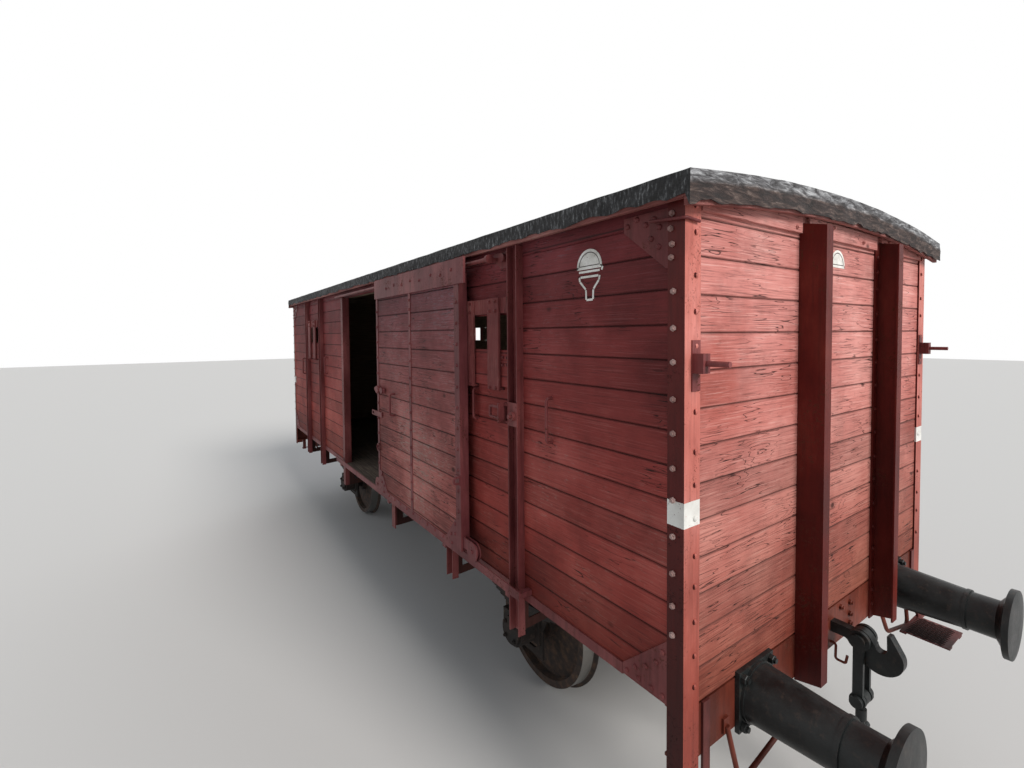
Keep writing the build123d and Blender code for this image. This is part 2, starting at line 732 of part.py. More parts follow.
# Buffers: a cast casing on a base plate, with a plunger and a domed round head
buffer_axis = Axis((0, -buffer_y, buffer_z), (1, 0, 0))
buffer_plane = Plane(origin=(0, -buffer_y, buffer_z), x_dir=(1, 0, 0), z_dir=(0, -1, 0))
casing_root = end_face + buffer_base_thick
head_face = half_length + buffer_reach
casing_end = head_face - plunger_show
with BuildPart() as buffer_casing:
    block(end_face, casing_root, -buffer_y - buffer_base / 2, -buffer_y + buffer_base / 2,
          buffer_z - buffer_base_height / 2, buffer_z + buffer_base_height / 2)
    with BuildSketch(buffer_plane):
        with BuildLine():
            Polyline((casing_root, 0), (casing_root, casing_root_radius + 6),
                     (casing_root + 14, casing_root_radius + 6), (casing_root + 14, casing_root_radius),
                     (casing_end - 20, casing_radius - 5), (casing_end - 20, casing_radius),
                     (casing_end, casing_radius), (casing_end, 0), close=True)
        make_face()
    revolve(axis=buffer_axis)
save(four_corners(buffer_casing), "buffer_casings")
with BuildPart() as buffer_plunger:
    rim = head_face - 10
    with BuildSketch(buffer_plane):
        with BuildLine():
            Polyline((rim, head_radius), (rim - head_rim, head_radius),
                     (rim - head_rim - 14, head_radius - 50), (rim - head_rim - 40, plunger_radius),
                     (casing_end, plunger_radius), (casing_end, 0),
                     (head_face, 0))
            ThreePointArc((head_face, 0), (head_face - 2.5, head_radius / 2), (rim, head_radius))
        make_face()
    revolve(axis=buffer_axis)
save(four_corners(buffer_plunger), "buffer_plungers")

# Draw hooks: a shank through the headstock, an eye for the coupling pin, and a deep hook with its nose up
pin_x = end_face + hook_reach
throat_x = pin_x + 95
throat_z = hook_z - 32
with BuildPart() as draw_hook:
    with BuildSketch(Plane.XZ.offset(-hook_thick / 2)):
        with BuildLine():
            shank = shank_height / 2
            Polyline((pin_x - 200, hook_z + shank), (pin_x - 200, hook_z - shank),
                     (pin_x - 74, hook_z - shank),
                     (pin_x - 34, hook_z - 58), (pin_x + 8, hook_z - 116))
            ThreePointArc((pin_x + 8, hook_z - 116), (pin_x + 86, hook_z - 152), (pin_x + 160, hook_z - 124))
            ThreePointArc((pin_x + 160, hook_z - 124), (pin_x + 193, hook_z - 72), (pin_x + 188, hook_z - 12))
            Polyline((pin_x + 188, hook_z - 12), (pin_x + 136, hook_z + 76), (pin_x + 120, hook_z + 76),
                     (throat_x + 27, throat_z + 27))
            ThreePointArc((throat_x + 27, throat_z + 27), (throat_x, throat_z), (throat_x - 27, throat_z + 27))
            Line((throat_x - 27, throat_z + 27), (pin_x + 46, hook_z + 26))
            ThreePointArc((pin_x + 46, hook_z + 26), (pin_x, hook_z + 52), (pin_x - 46, hook_z + 26))
            Polyline((pin_x - 46, hook_z + 26), (pin_x - 74, hook_z + shank), (pin_x - 200, hook_z + shank))
        make_face()
        with Locations((pin_x, hook_z)):
            Circle(coupling_pin, mode=Mode.SUBTRACT)
    extrude(amount=hook_thick)
save(both_sides(draw_hook), "draw_hooks")

# Screw couplings hang from the hooks: two eyed links, two trunnions on a screw, and the bail
upper_trunnion = hook_z - link_length
lower_trunnion = upper_trunnion - screw_length
bail_foot = lower_trunnion - bail_length
link_inner = hook_thick / 2 + link_gap
with BuildPart() as screw_coupling:
    with Locations(Location((pin_x, 0, hook_z), (90, 0, 0))):
        Cylinder(coupling_pin, 2 * (link_inner + link_thick) + 20)
    for side in (-1, 1):
        with BuildSketch(Plane.XZ.offset(link_inner if side < 0 else -link_inner - link_thick)):
            with Locations((pin_x, hook_z - link_length / 2)):
                Rectangle(50, link_length)
            with Locations((pin_x, hook_z)):
                Circle(54)
            with Locations((pin_x, upper_trunnion)):
                Circle(40)
        extrude(amount=link_thick)
        with Locations(Location((pin_x, side * (link_inner + link_thick + 8), hook_z), (90, 0, 0))):
            Cylinder(34, 16)
        with Locations(Location((pin_x, side * (link_inner + link_thick + 12), upper_trunnion), (90, 0, 0))):
            Cylinder(32, 24)
    for z in (upper_trunnion, lower_trunnion):
        with Locations(Location((pin_x, 0, z), (90, 0, 0))):
            Cylinder(20, 2 * bail_half + 20)
            Cylinder(38, 56)
    with Locations((pin_x, 0, (upper_trunnion + lower_trunnion) / 2)):
        Cylinder(18, screw_length)
        Cylinder(27, 60)
    rod([(pin_x, -bail_half, lower_trunnion), (pin_x, -bail_half, bail_foot), (pin_x, bail_half, bail_foot),
         (pin_x, bail_half, lower_trunnion)], bail_radius, 60)
save(both_sides(screw_coupling), "screw_couplings")

# Coupling rests: a bent hook below each draw hook, where the coupling is hung up
with BuildPart() as coupling_rest:
    rod([(end_face, -15, frame_top - 200), (end_face + 26, -15, frame_top - 200), (end_face + 24, -15, rest_z),
         (end_face + 76, -15, rest_z), (end_face + 84, -15, rest_z + 48)], 7, 14)
save(both_sides(coupling_rest), "coupling_rests")

# Grab rods under the buffers for the shunter: a bent bar between two flat lugs on the headstock
with BuildPart() as buffer_grab_rod:
    rod([(end_face + 14, -grab_outer, frame_top - 180), (end_face + 52, -grab_outer + 46, frame_top - 452),
         (end_face + 52, -grab_inner - 45, frame_top - 370), (end_face + 14, -grab_inner, frame_top - 180)],
        grab_rod_radius, 45)
    for y in (-grab_outer, -grab_inner):
        block(end_face, end_face + 12, y - lug_width / 2, y + lug_width / 2, frame_top - 215, frame_top - 145)
save(four_corners(buffer_grab_rod), "buffer_grab_rods")

# Steps: a high tread in front of the left front corner and a low one at the right front corner
with BuildPart() as shunter_step:
    tread_front = end_face + tread_back + tread_depth
    rung = 12.0
    top = frame_top - high_step_drop
    under = top - tread_thick - rung
    block(end_face + tread_back, tread_front, tread_inner, tread_outer, top - tread_thick, top)
    block(end_face, end_face + rung, high_step_strap - strap_width, high_step_strap, under, frame_top + 4)
    block(end_face, end_face + tread_back, high_step_strap - strap_width, high_step_strap, under,
          top - tread_thick)
    block(end_face + tread_back - 23, end_face + tread_back + 12, tread_inner,
          high_step_strap - strap_width, under, top - tread_thick)
    for y in (tread_inner + 20, tread_outer - 20 - strap_width):
        block(end_face + tread_back, tread_front, y, y + strap_width, under, top - tread_thick)
    strap_back = [(0, 95), (0, 205), (10, 268), (36, 332), (78, 392), (78, 412)]
    strap_front = [(92, 412), (92, 388), (47, 324), (22, 262), (rung, 203), (rung, 95)]
    with BuildSketch(Plane.XZ.offset(-tread_outer - strap_width)):
        with BuildLine():
            Polyline(*[(end_face + x, frame_top - drop) for x, drop in strap_back + strap_front], close=True)
        make_face()
    extrude(amount=strap_width)
    top = frame_top - low_step_drop
    hanger = -low_step_strap + strap_width
    block(end_face, end_face + rung, -low_step_strap, hanger, top - tread_thick - rung, frame_top + 4)
    block(end_face, end_face + tread_depth, -low_step_strap, hanger, top - tread_thick - rung,
          top - tread_thick)
    block(end_face + rung, end_face + tread_depth, -low_step_strap - low_tread_side, hanger + low_tread_side,
          top - tread_thick, top)
save(both_sides(shunter_step), "shunter_steps")

# Axle guards: plates on the sole bar webs with two legs that guide each axle box
axle_x = wheelbase / 2
guard_top = frame_top - 28
guard_shoulder = frame_top - 118
guard_foot = axle_z - 198
with BuildPart() as axle_guard:
    leg = guard_leg_gap + guard_leg_width
    with BuildSketch(Plane.XZ.offset(sole_outer)):
        with BuildLine():
            half_plate = [(guard_reach, guard_top), (guard_reach, guard_shoulder), (leg + 50, axle_z + 132),
                          (leg, axle_z + 32), (leg, guard_foot)]
            Polyline(*[(axle_x - x, z) for x, z in half_plate],
                     *[(axle_x + x, z) for x, z in reversed(half_plate)], close=True)
        make_face()
        with Locations((axle_x, axle_z + 92)):
            RectangleRounded(2 * guard_leg_gap, guard_slot, 60, mode=Mode.SUBTRACT)
        for sign in (-1, 1):
            with BuildLine():
                Polyline((axle_x + sign * (leg + 10), axle_z + 192),
                         (axle_x + sign * (leg + 10), guard_shoulder),
                         (axle_x + sign * (leg + 265), guard_shoulder), close=True)
            make_face(mode=Mode.SUBTRACT)
    extrude(amount=guard_thick)
save(four_corners(axle_guard), "axle_guards")

# Axle boxes: cast housings with a round belly, a lid, and cheeks that straddle the guard legs
with BuildPart() as axle_box:
    with BuildSketch(Plane.XZ.offset(journal_start)):
        with Locations((axle_x, axle_z + box_half / 2)):
            Rectangle(2 * box_half, box_half)
        with Locations((axle_x, axle_z)):
            Circle(box_half)
            Rectangle(2 * box_half, 60)
    extrude(amount=175)
    with BuildSketch(Plane.XZ.offset(journal_start + 175)):
        with Locations((axle_x, axle_z)):
            Circle(box_half - 22)
    extrude(amount=box_front - journal_start - 175)
    for sign in (-1, 1):
        for y0, y1 in ((sole_outer - 15, sole_outer),
                       (sole_outer + guard_thick, sole_outer + guard_thick + 15)):
            block(axle_x + sign * (box_half - 30), axle_x + sign * 165, -y0, -y1, axle_z - 90, axle_z + 110)
    with Locations(Location((axle_x, -journal_start, axle_z), (90, 0, 0))):
        Cylinder(journal_radius + journal_clearance, journal_end - journal_start + 5,
                 align=(Align.CENTER, Align.CENTER, Align.MIN), mode=Mode.SUBTRACT)
save(four_corners(axle_box), "axle_boxes")

# Leaf springs on the axle boxes: each leaf a shorter arc under the last, with a buckle and end eyes
spring_radius = (spring_half**2 + spring_rise**2) / (2 * spring_rise)
spring_seat = axle_z + box_half
main_top = spring_seat + 14 + leaf_thick * len(leaf_halves)
spring_centre = main_top + spring_radius
with BuildPart() as leaf_spring:
    for order, half in enumerate(leaf_halves):
        inner = spring_radius + order * leaf_thick
        outer = inner + leaf_thick
        turn = half / spring_radius
        with BuildSketch(Plane.XZ.offset(spring_y - spring_width / 2)):
            with BuildLine():
                ends = [(axle_x + sign * radius * sin(turn), spring_centre - radius * cos(turn))
                        for radius, sign in ((inner, -1), (inner, 1), (outer, 1), (outer, -1))]
                ThreePointArc(ends[0], (axle_x, spring_centre - inner), ends[1])
                Line(ends[1], ends[2])
                ThreePointArc(ends[2], (axle_x, spring_centre - outer), ends[3])
                Line(ends[3], ends[0])
            make_face()
        extrude(amount=spring_width)
    eye_z = main_top + spring_rise
    for sign in (-1, 1):
        with Locations(Location((axle_x + sign * spring_half, -spring_y, eye_z), (90, 0, 0))):
            Cylinder(24, spring_width)
            Cylinder(spring_pin, 2 * spring_width, mode=Mode.SUBTRACT)
    block(axle_x - 50, axle_x + 50, -spring_y - spring_width / 2 - 12, -spring_y + spring_width / 2 + 12,
          spring_seat, main_top + 14)
save(four_corners(leaf_spring), "leaf_springs")

# Spring hangers: brackets on the sole bars and the links that hold the spring eyes
with BuildPart() as spring_hanger:
    for sign in (-1, 1):
        x = axle_x + sign * hanger_half
        pin_z = frame_top - hanger_drop
        block(x - 34, x + 34, -spring_y - 40, -sole_outer, pin_z + 30, pin_z + 155)
        block(x - 22, x + 22, -spring_y - 40, -spring_y + 40, pin_z - 20, pin_z + 30)
        with Locations(Location((x, -spring_y, pin_z), (90, 0, 0))):
            Cylinder(spring_pin, spring_width + 40)
        with Locations(Location((axle_x + sign * spring_half, -spring_y, eye_z), (90, 0, 0))):
            Cylinder(spring_pin, spring_width + 40)
        reach = sqrt((hanger_half - spring_half)**2 + (pin_z - eye_z)**2)
        slope = degrees(acos((hanger_half - spring_half) / reach)) * sign * (1 if pin_z > eye_z else -1)
        for y in (spring_y - spring_width / 2 - 14, spring_y + spring_width / 2 + 4):
            with BuildSketch(Plane.XZ.offset(y)):
                with Locations(((x + axle_x + sign * spring_half) / 2, (pin_z + eye_z) / 2)):
                    SlotCenterToCenter(reach, 48, rotation=slope)
            extrude(amount=10)
save(four_corners(spring_hanger), "spring_hangers")

# Wheelsets: an axle with turned seats and journals, and two disc wheels with flanges inside
for end_name, x in (("front", axle_x), ("rear", -axle_x)):
    turning = Axis((x, 0, axle_z), (0, 1, 0))
    with BuildPart() as axle:
        with BuildSketch(Plane.XY.offset(axle_z)):
            with BuildLine():
                half_profile = [(0, journal_end), (journal_radius, journal_end), (journal_radius, journal_start),
                                (74, journal_start - 15), (seat_radius, seat_end), (seat_radius, seat_start),
                                (axle_radius, seat_start - 40)]
                Polyline(*[(x + radius, -y) for radius, y in half_profile],
                         *[(x + radius, y) for radius, y in reversed(half_profile)], close=True)
            make_face()
        revolve(axis=turning)
    save(axle, f"axle_{end_name}")
    rim_face = wheel_back + rim_width
    with BuildPart() as wheels:
        with BuildSketch(Plane.XY.offset(axle_z)):
            for side in (-1, 1):
                profile = [(seat_radius, hub_start), (145, hub_start), (150, 752), (438, 728),
                           (440, wheel_back),
                           (wheel_radius + 15, wheel_back), (wheel_radius + flange_height, wheel_back + 8),
                           (wheel_radius + flange_height, wheel_back + 18), (wheel_radius + 6, wheel_back + 31),
                           (wheel_radius, wheel_back + 42), (wheel_radius - 6, rim_face), (440, rim_face),
                           (438, 752), (150, 776), (145, hub_end), (seat_radius, hub_end)]
                with BuildLine():
                    Polyline(*[(x + radius, side * y) for radius, y in profile], close=True)
                make_face()
        revolve(axis=turning)
    save(wheels, f"wheels_{end_name}")
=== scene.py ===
"""A two-axle covered goods wagon: red oxide on boards and steel, black draw gear, crumpled felt roof."""
import math

import bmesh
import bpy
from mathutils import Matrix, Vector


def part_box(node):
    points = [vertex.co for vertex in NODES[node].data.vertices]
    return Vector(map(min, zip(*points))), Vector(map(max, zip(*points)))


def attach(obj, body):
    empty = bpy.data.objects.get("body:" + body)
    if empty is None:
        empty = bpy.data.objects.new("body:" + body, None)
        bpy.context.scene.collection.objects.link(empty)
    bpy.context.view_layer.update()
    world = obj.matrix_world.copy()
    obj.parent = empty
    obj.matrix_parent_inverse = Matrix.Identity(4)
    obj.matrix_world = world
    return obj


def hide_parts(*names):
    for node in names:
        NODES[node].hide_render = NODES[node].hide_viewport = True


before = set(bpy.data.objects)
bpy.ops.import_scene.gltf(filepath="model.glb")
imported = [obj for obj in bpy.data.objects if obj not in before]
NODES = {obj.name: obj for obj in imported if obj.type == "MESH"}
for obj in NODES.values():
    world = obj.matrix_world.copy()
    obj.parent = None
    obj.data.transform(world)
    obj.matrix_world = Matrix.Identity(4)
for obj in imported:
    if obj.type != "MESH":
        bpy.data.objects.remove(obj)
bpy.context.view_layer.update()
MM = 0.001

# Main faces of the wagon, read from the frame
ROD_REACH = 64 * MM
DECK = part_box("side_boards_right")[0].z
SIDE_FACE = -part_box("side_boards_right")[0].y
HALF_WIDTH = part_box("corner_posts")[1].y
HALF_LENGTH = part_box("corner_posts")[1].x
END_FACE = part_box("buffer_grab_rods")[1].x - ROD_REACH
LEAF_FACE = -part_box("door_boards_right")[0].y
FELT_LOW, FELT_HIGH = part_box("roof_felt")
ROOF_RISE = 95 * MM
ROOF_RADIUS = (FELT_HIGH.y**2 + ROOF_RISE**2) / (2 * ROOF_RISE)

# Faces that the fasteners sit on
POST_FACE = SIDE_FACE + 8 * MM
SHUTTER_FACE = SIDE_FACE + 26 * MM
SLAT_FACE = SIDE_FACE + 50 * MM
STILE_FACE = LEAF_FACE + 6 * MM
WEATHER_FACE = LEAF_FACE + 18 * MM
STANCHION_FACE = END_FACE + 9 * MM
BATTEN_FACE = END_FACE + 18 * MM
BUFFER_BASE_FACE = END_FACE + 22 * MM
GUARD_FACE = 938 * MM
LID_FACE = 1105 * MM

# Boards: their pitch, the first joint of the ends above the deck, and the thickness that shows as painted
SIDE_PITCH = 150 * MM
END_PITCH = 161.6 * MM
END_FIRST_JOINT = 160 * MM
PLANK_PITCH = 163.5 * MM
PAINTED_SKIN = 20 * MM

# Wheels: half their base in millimetres, the rest in metres
HALF_WHEELBASE = 2250
AXLE_HEIGHT = 528 * MM
TREAD_RADIUS = 497 * MM
TREAD_BAND = 5 * MM


# Colours and materials

def linear(sheet_hex):
    """An sRGB hex value as a linear colour with alpha."""
    parts = [int(sheet_hex[i:i + 2], 16) / 255 for i in (1, 3, 5)]
    return tuple(c / 12.92 if c <= 0.04045 else ((c + 0.055) / 1.055) ** 2.4 for c in parts) + (1.0,)


# The span that most values of a noise lie in, and settings for mixing colours plainly and by multiplying
SPAN = {"From Min": 0.3, "From Max": 0.7}
MIX = {"out": 2, "data_type": "RGBA"}
MULTIPLY = {**MIX, "blend_type": "MULTIPLY"}


def node(tree, kind, inputs=None, out=0, stops=None, **settings):
    """Add one shader node with its settings and links, and give back one of its outputs."""
    new = tree.nodes.new("ShaderNode" + kind)
    for key, value in settings.items():
        setattr(new, key, value)
    for key, value in (inputs or {}).items():
        if isinstance(value, bpy.types.NodeSocket):
            tree.links.new(value, new.inputs[key])
        else:
            new.inputs[key].default_value = linear(value) if isinstance(value, str) else value
    for number, (position, value) in enumerate(stops or ()):
        band = new.color_ramp.elements
        element = band[number] if number < len(band) else band.new(position)
        element.position = position
        element.color = linear(value) if isinstance(value, str) else (value, value, value, 1.0)
    return new.outputs[out] if len(new.outputs) else None


def new_material(name):
    """An empty node material and its tree."""
    made = bpy.data.materials.new(name)
    made.use_nodes = True
    made.node_tree.nodes.clear()
    return made, made.node_tree


def close_material(tree, colour, roughness, height, depth, shine=0.5, metal=0.0):
    """End a material in one surface, with its height field as a bump of that depth in metres."""
    bump = node(tree, "Bump", {"Height": height, "Distance": depth, "Strength": 1.0})
    shader = node(tree, "BsdfPrincipled", {"Base Color": colour, "Roughness": roughness, "Normal": bump,
                                           "Specular IOR Level": shine, "Metallic": metal})
    node(tree, "OutputMaterial", {"Surface": shader})


def darken_low(tree, colour, up, reach, low_darkening):
    """The lowest part of the walls made darker and browner, fading out at a height above the deck in metres.
    """
    low = node(tree, "MapRange", {"Value": up, "From Min": DECK + reach, "From Max": DECK + 0.05})
    darker_below = node(tree, "Mix", {0: 1.0, 6: colour, 7: low_darkening}, **MULTIPLY)
    return node(tree, "Mix", {0: low, 6: colour, 7: darker_below}, **MIX)


def stretched(grain, across, along):
    """The scale of a pattern with features of that many millimetres across the grain and along it."""
    scale = [1 / (across * MM)] * 3
    scale[grain] = 1 / (along * MM)
    return scale


def painted_boards(name, grain, pitch, first_joint, shades, dust, flaking, soot=None, inner_face=None,
                   low_darkening=None, weathered=0.5):
    """Red oxide paint brushed on sawn pine: chalky, with checks and knots in the wood and dark joints."""
    made, tree = new_material(name)
    place = node(tree, "TexCoord", out="Object")
    axes = node(tree, "SeparateXYZ", {0: place}).node.outputs
    across_boards = axes[1] if grain == 2 else axes[2]
    rise = node(tree, "Math", {0: across_boards, 1: first_joint}, operation="SUBTRACT")
    row = node(tree, "Math", {0: rise, 1: pitch}, operation="DIVIDE")
    board = node(tree, "Math", {0: row}, operation="FLOOR")
    lot = node(tree, "TexWhiteNoise", {"W": board}, noise_dimensions="1D").node.outputs
    own = node(tree, "VectorMath", {0: lot["Color"], 1: (37.0, 37.0, 37.0), 2: place},
               operation="MULTIPLY_ADD")

    # Fibres 6 mm apart and rings 55 mm apart, drawn out along the board
    fibre_place = node(tree, "Mapping", {"Vector": own, "Scale": stretched(grain, 6, 260)})
    fibre = node(tree, "TexNoise", {"Vector": fibre_place, "Scale": 1.0, "Detail": 5.0, "Roughness": 0.6})
    ring_place = node(tree, "Mapping", {"Vector": own, "Scale": stretched(grain, 55, 900)})
    ring = node(tree, "TexNoise", {"Vector": ring_place, "Scale": 1.0, "Detail": 3.0, "Distortion": 0.4})

    # Knots about 30 mm across, with the rings of the wood drawn round them
    knot_place = node(tree, "Mapping", {"Vector": own, "Scale": stretched(grain, 300, 460)})
    knot = node(tree, "TexVoronoi", {"Vector": knot_place, "Scale": 1.0}, out="Distance")
    knot_near = node(tree, "ValToRGB", {0: knot}, stops=((0.03, 0.85), (0.075, 0.0)))
    lift = node(tree, "ValToRGB", {0: knot}, stops=((0.0, 1.0), (0.38, 0.0)))
    lifted = node(tree, "Math", {0: lift, 1: 2.6}, operation="MULTIPLY")
    flow = node(tree, "Math", {0: ring, 1: 9.0, 2: lifted}, operation="MULTIPLY_ADD")

    # Ring lines about 3 mm wide: faint everywhere, and open checks where the board is dry
    waves = node(tree, "Math", {0: flow, 1: 0.5}, operation="PINGPONG")
    ring_line = node(tree, "ValToRGB", {0: waves}, stops=((0.0, 1.0), (0.07, 0.0)))
    drying = node(tree, "TexNoise", {"Vector": own, "Scale": 3.2, "Detail": 4.0})
    dry = node(tree, "ValToRGB", {0: drying},
               stops=((0.62 - 0.15 * weathered, 0.0), (0.68 - 0.12 * weathered, 1.0)))
    check = node(tree, "Math", {0: ring_line, 1: dry}, operation="MULTIPLY")

    # Colour: broad fading, each board its own shade, fibres lighter with dust and wear; a near-white dust
    # colour on the fibres is a painted highlight of sheen on the grain
    cloud = node(tree, "TexNoise", {"Vector": place, "Scale": 1.1, "Detail": 4.0, "Roughness": 0.6})
    base = node(tree, "ValToRGB", {0: cloud}, stops=tuple(zip((0.32, 0.5, 0.68), shades)))
    lot_tone = node(tree, "MapRange", {"Value": lot["Value"], "To Min": 0.84, "To Max": 1.18})
    toned = node(tree, "VectorMath", {0: base, "Scale": lot_tone}, operation="SCALE")
    fibre_tone = node(tree, "ValToRGB", {0: fibre},
                      stops=((0.30, 0.70 - 0.25 * weathered), (0.46, 0.96), (0.66, 1.0)))
    grained = node(tree, "Mix", {0: 1.0, 6: toned, 7: fibre_tone}, **MULTIPLY)
    dust_and_sheen_where = node(tree, "ValToRGB", {0: fibre}, stops=((0.54, 0.0), (0.74, 0.4)))
    dusty = node(tree, "Mix", {0: dust_and_sheen_where, 6: grained, 7: dust}, **MIX)
    faint = node(tree, "Math", {0: ring_line, 1: 0.16 + 0.12 * weathered}, operation="MULTIPLY")
    ringed = node(tree, "Mix", {0: faint, 6: dusty, 7: "#4a2019"}, **MIX)
    knotted = node(tree, "Mix", {0: knot_near, 6: ringed, 7: "#2c100b"}, **MIX)
    checked = node(tree, "Mix", {0: check, 6: knotted, 7: "#1d0b09"}, **MIX)

    # Grey wood where the paint has flaked off in long flecks
    flake_place = node(tree, "Mapping", {"Vector": own, "Scale": stretched(grain, 11, 60)})
    flake = node(tree, "TexNoise", {"Vector": flake_place, "Scale": 1.0, "Detail": 6.0, "Roughness": 0.65})
    worn_off = node(tree, "ValToRGB", {0: flake},
                    stops=((0.62 - flaking * 0.1, 0.0), (0.66 - flaking * 0.1, 1.0)))
    worn_where = node(tree, "ValToRGB", {0: cloud}, stops=((0.46, 0.0), (0.62, flaking)))
    bare = node(tree, "Math", {0: worn_off, 1: worn_where}, operation="MULTIPLY")
    bared = node(tree, "Mix", {0: bare, 6: checked, 7: "#a08a80"}, **MIX)

    # Soot in soft patches 300 mm across, and darkening within 10 mm of each joint: partly dirt caught there,
    # partly painted shade in the groove
    wash = node(tree, "TexNoise", {"Vector": place, "Scale": 3.4, "Detail": 6.0, "Roughness": 0.66})
    wash_tone = node(tree, "ValToRGB", {0: wash}, stops=((0.36, 0.80), (0.52, 1.0)))
    washed = node(tree, "Mix", {0: 1.0, 6: bared, 7: wash_tone}, **MULTIPLY)
    step = node(tree, "Math", {0: row, 1: 0.5}, operation="PINGPONG")
    joint = node(tree, "Math", {0: step, 1: pitch / (10 * MM)}, operation="MULTIPLY")
    joint_dirt_and_shade = node(tree, "ValToRGB", {0: joint}, stops=((0.0, 0.18), (0.35, 0.62), (1.0, 1.0)))
    soiled = node(tree, "Mix", {0: 1.0, 6: washed, 7: joint_dirt_and_shade}, **MULTIPLY)
    colour = darken_low(tree, soiled, axes[2], *low_darkening) if low_darkening else soiled

    # Painted shade under the eaves: the wall made darker and bluer towards its top
    if soot:
        under = node(tree, "MapRange", {"Value": axes[2], "From Min": DECK + 0.5, "From Max": DECK + 2.15})
        eaves_shaded = node(tree, "Mix", {0: 1.0, 6: colour, 7: soot}, **MULTIPLY)
        colour = node(tree, "Mix", {0: under, 6: colour, 7: eaves_shaded}, **MIX)

    # Bare planed boards inside
    if inner_face:
        reach = node(tree, "Math", {0: axes[1 if grain == 0 else 0]}, operation="ABSOLUTE")
        inside = node(tree, "Math", {0: reach, 1: inner_face}, operation="LESS_THAN")
        wood = node(tree, "ValToRGB", {0: fibre}, stops=((0.3, "#4a382c"), (0.7, "#8c745f")))
        colour = node(tree, "Mix", {0: inside, 6: colour, 7: wood}, **MIX)

    cracks = node(tree, "Math", {0: check, 1: -0.5}, operation="MULTIPLY")
    height = node(tree, "Math", {0: fibre, 1: 0.45, 2: cracks}, operation="MULTIPLY_ADD")
    height = node(tree, "Math", {0: bare, 1: -0.18, 2: height}, operation="MULTIPLY_ADD")
    rough = node(tree, "MapRange", {"Value": fibre, **SPAN, "To Min": 0.56, "To Max": 0.78})
    close_material(tree, colour, rough, height, 3.0 * MM, shine=0.2)
    return made


def painted_steel(name, shades, rust, gloss, patch=None, shaded_sides=None, low_darkening=None):
    """Red oxide brushed on rolled steel: a duller sheen than new paint, with chips, pits and rust runs."""
    made, tree = new_material(name)
    place = node(tree, "TexCoord", out="Object")
    cloud_place = node(tree, "Mapping", {"Vector": place, "Scale": (3, 3, 1.6)})
    cloud = node(tree, "TexNoise", {"Vector": cloud_place, "Scale": 1.0, "Detail": 5.0, "Roughness": 0.62})
    base = node(tree, "ValToRGB", {0: cloud}, stops=tuple(zip((0.32, 0.5, 0.68), shades)))

    # Brush marks 14 mm apart and 125 mm long
    brush_place = node(tree, "Mapping", {"Vector": place, "Scale": (70, 70, 8)})
    brush = node(tree, "TexNoise", {"Vector": brush_place, "Scale": 1.0, "Detail": 3.0})
    brush_tone = node(tree, "ValToRGB", {0: brush}, stops=((0.3, 0.82), (0.7, 1.0)))
    brushed = node(tree, "Mix", {0: 1.0, 6: base, 7: brush_tone}, **MULTIPLY)

    # Pits 12 mm apart, gathered in patches 200 mm across
    pit = node(tree, "TexNoise", {"Vector": place, "Scale": 80.0, "Detail": 8.0, "Roughness": 0.66})
    where = node(tree, "TexNoise", {"Vector": place, "Scale": 5.0, "Detail": 4.0, "Roughness": 0.6})
    pitted = node(tree, "ValToRGB", {0: pit}, stops=((0.55, 0.0), (0.60, 1.0)))
    gathered = node(tree, "ValToRGB", {0: where}, stops=((0.50, 0.0), (0.62, rust)))
    chip = node(tree, "Math", {0: pitted, 1: gathered}, operation="MULTIPLY")

    # Runs of rust 25 mm apart, half a metre long
    run_place = node(tree, "Mapping", {"Vector": place, "Scale": (40, 40, 2)})
    run = node(tree, "TexNoise", {"Vector": run_place, "Scale": 1.0, "Detail": 3.0})
    stain = node(tree, "ValToRGB", {0: run}, stops=((0.52, 0.0), (0.74, 0.45 * rust)))
    stained = node(tree, "Mix", {0: stain, 6: brushed, 7: "#31130e"}, **MIX)
    colour = node(tree, "Mix", {0: chip, 6: stained, 7: "#4d2a1b"}, **MIX)

    # Painted shade: faces that look towards the wagon's sides are made darker than those that look along the
    # wagon
    if shaded_sides:
        facing = node(tree, "SeparateXYZ", {0: node(tree, "NewGeometry", out="Normal")}, out="Y")
        sideways = node(tree, "Math", {0: facing}, operation="ABSOLUTE")
        aside = node(tree, "Math", {0: sideways, 1: 0.5}, operation="GREATER_THAN")
        side_shaded = node(tree, "Mix", {0: 1.0, 6: colour, 7: shaded_sides}, **MULTIPLY)
        colour = node(tree, "Mix", {0: aside, 6: colour, 7: side_shaded}, **MIX)

    up = node(tree, "SeparateXYZ", {0: place}, out="Z")
    if low_darkening:
        colour = darken_low(tree, colour, up, *low_darkening)

    # A blank white patch between two heights, with a brushed edge
    if patch:
        ragged = node(tree, "Math", {0: pit, 1: 6 * MM, 2: up}, operation="MULTIPLY_ADD")
        inside = node(tree, "Math", {0: ragged, 1: DECK + sum(patch) / 2 * MM + 3 * MM,
                                     2: (patch[1] - patch[0]) / 2 * MM}, operation="COMPARE")
        white = node(tree, "ValToRGB", {0: where}, stops=((0.35, "#c9c7c1"), (0.6, "#ecebe6")))
        kept = node(tree, "ValToRGB", {0: pit}, stops=((0.62, 1.0), (0.66, 0.3)))
        worn = node(tree, "Math", {0: inside, 1: kept}, operation="MULTIPLY")
        colour = node(tree, "Mix", {0: worn, 6: colour, 7: white}, **MIX)
    hollows = node(tree, "Math", {0: chip, 1: -0.6}, operation="MULTIPLY")
    height = node(tree, "Math", {0: brush, 1: 0.3, 2: hollows}, operation="MULTIPLY_ADD")
    height = node(tree, "Math", {0: pit, 1: 0.3, 2: height}, operation="MULTIPLY_ADD")
    rough = node(tree, "MapRange", {"Value": chip, "To Min": gloss, "To Max": 0.9})
    close_material(tree, colour, rough, height, 1.2 * MM, shine=0.22)
    return made


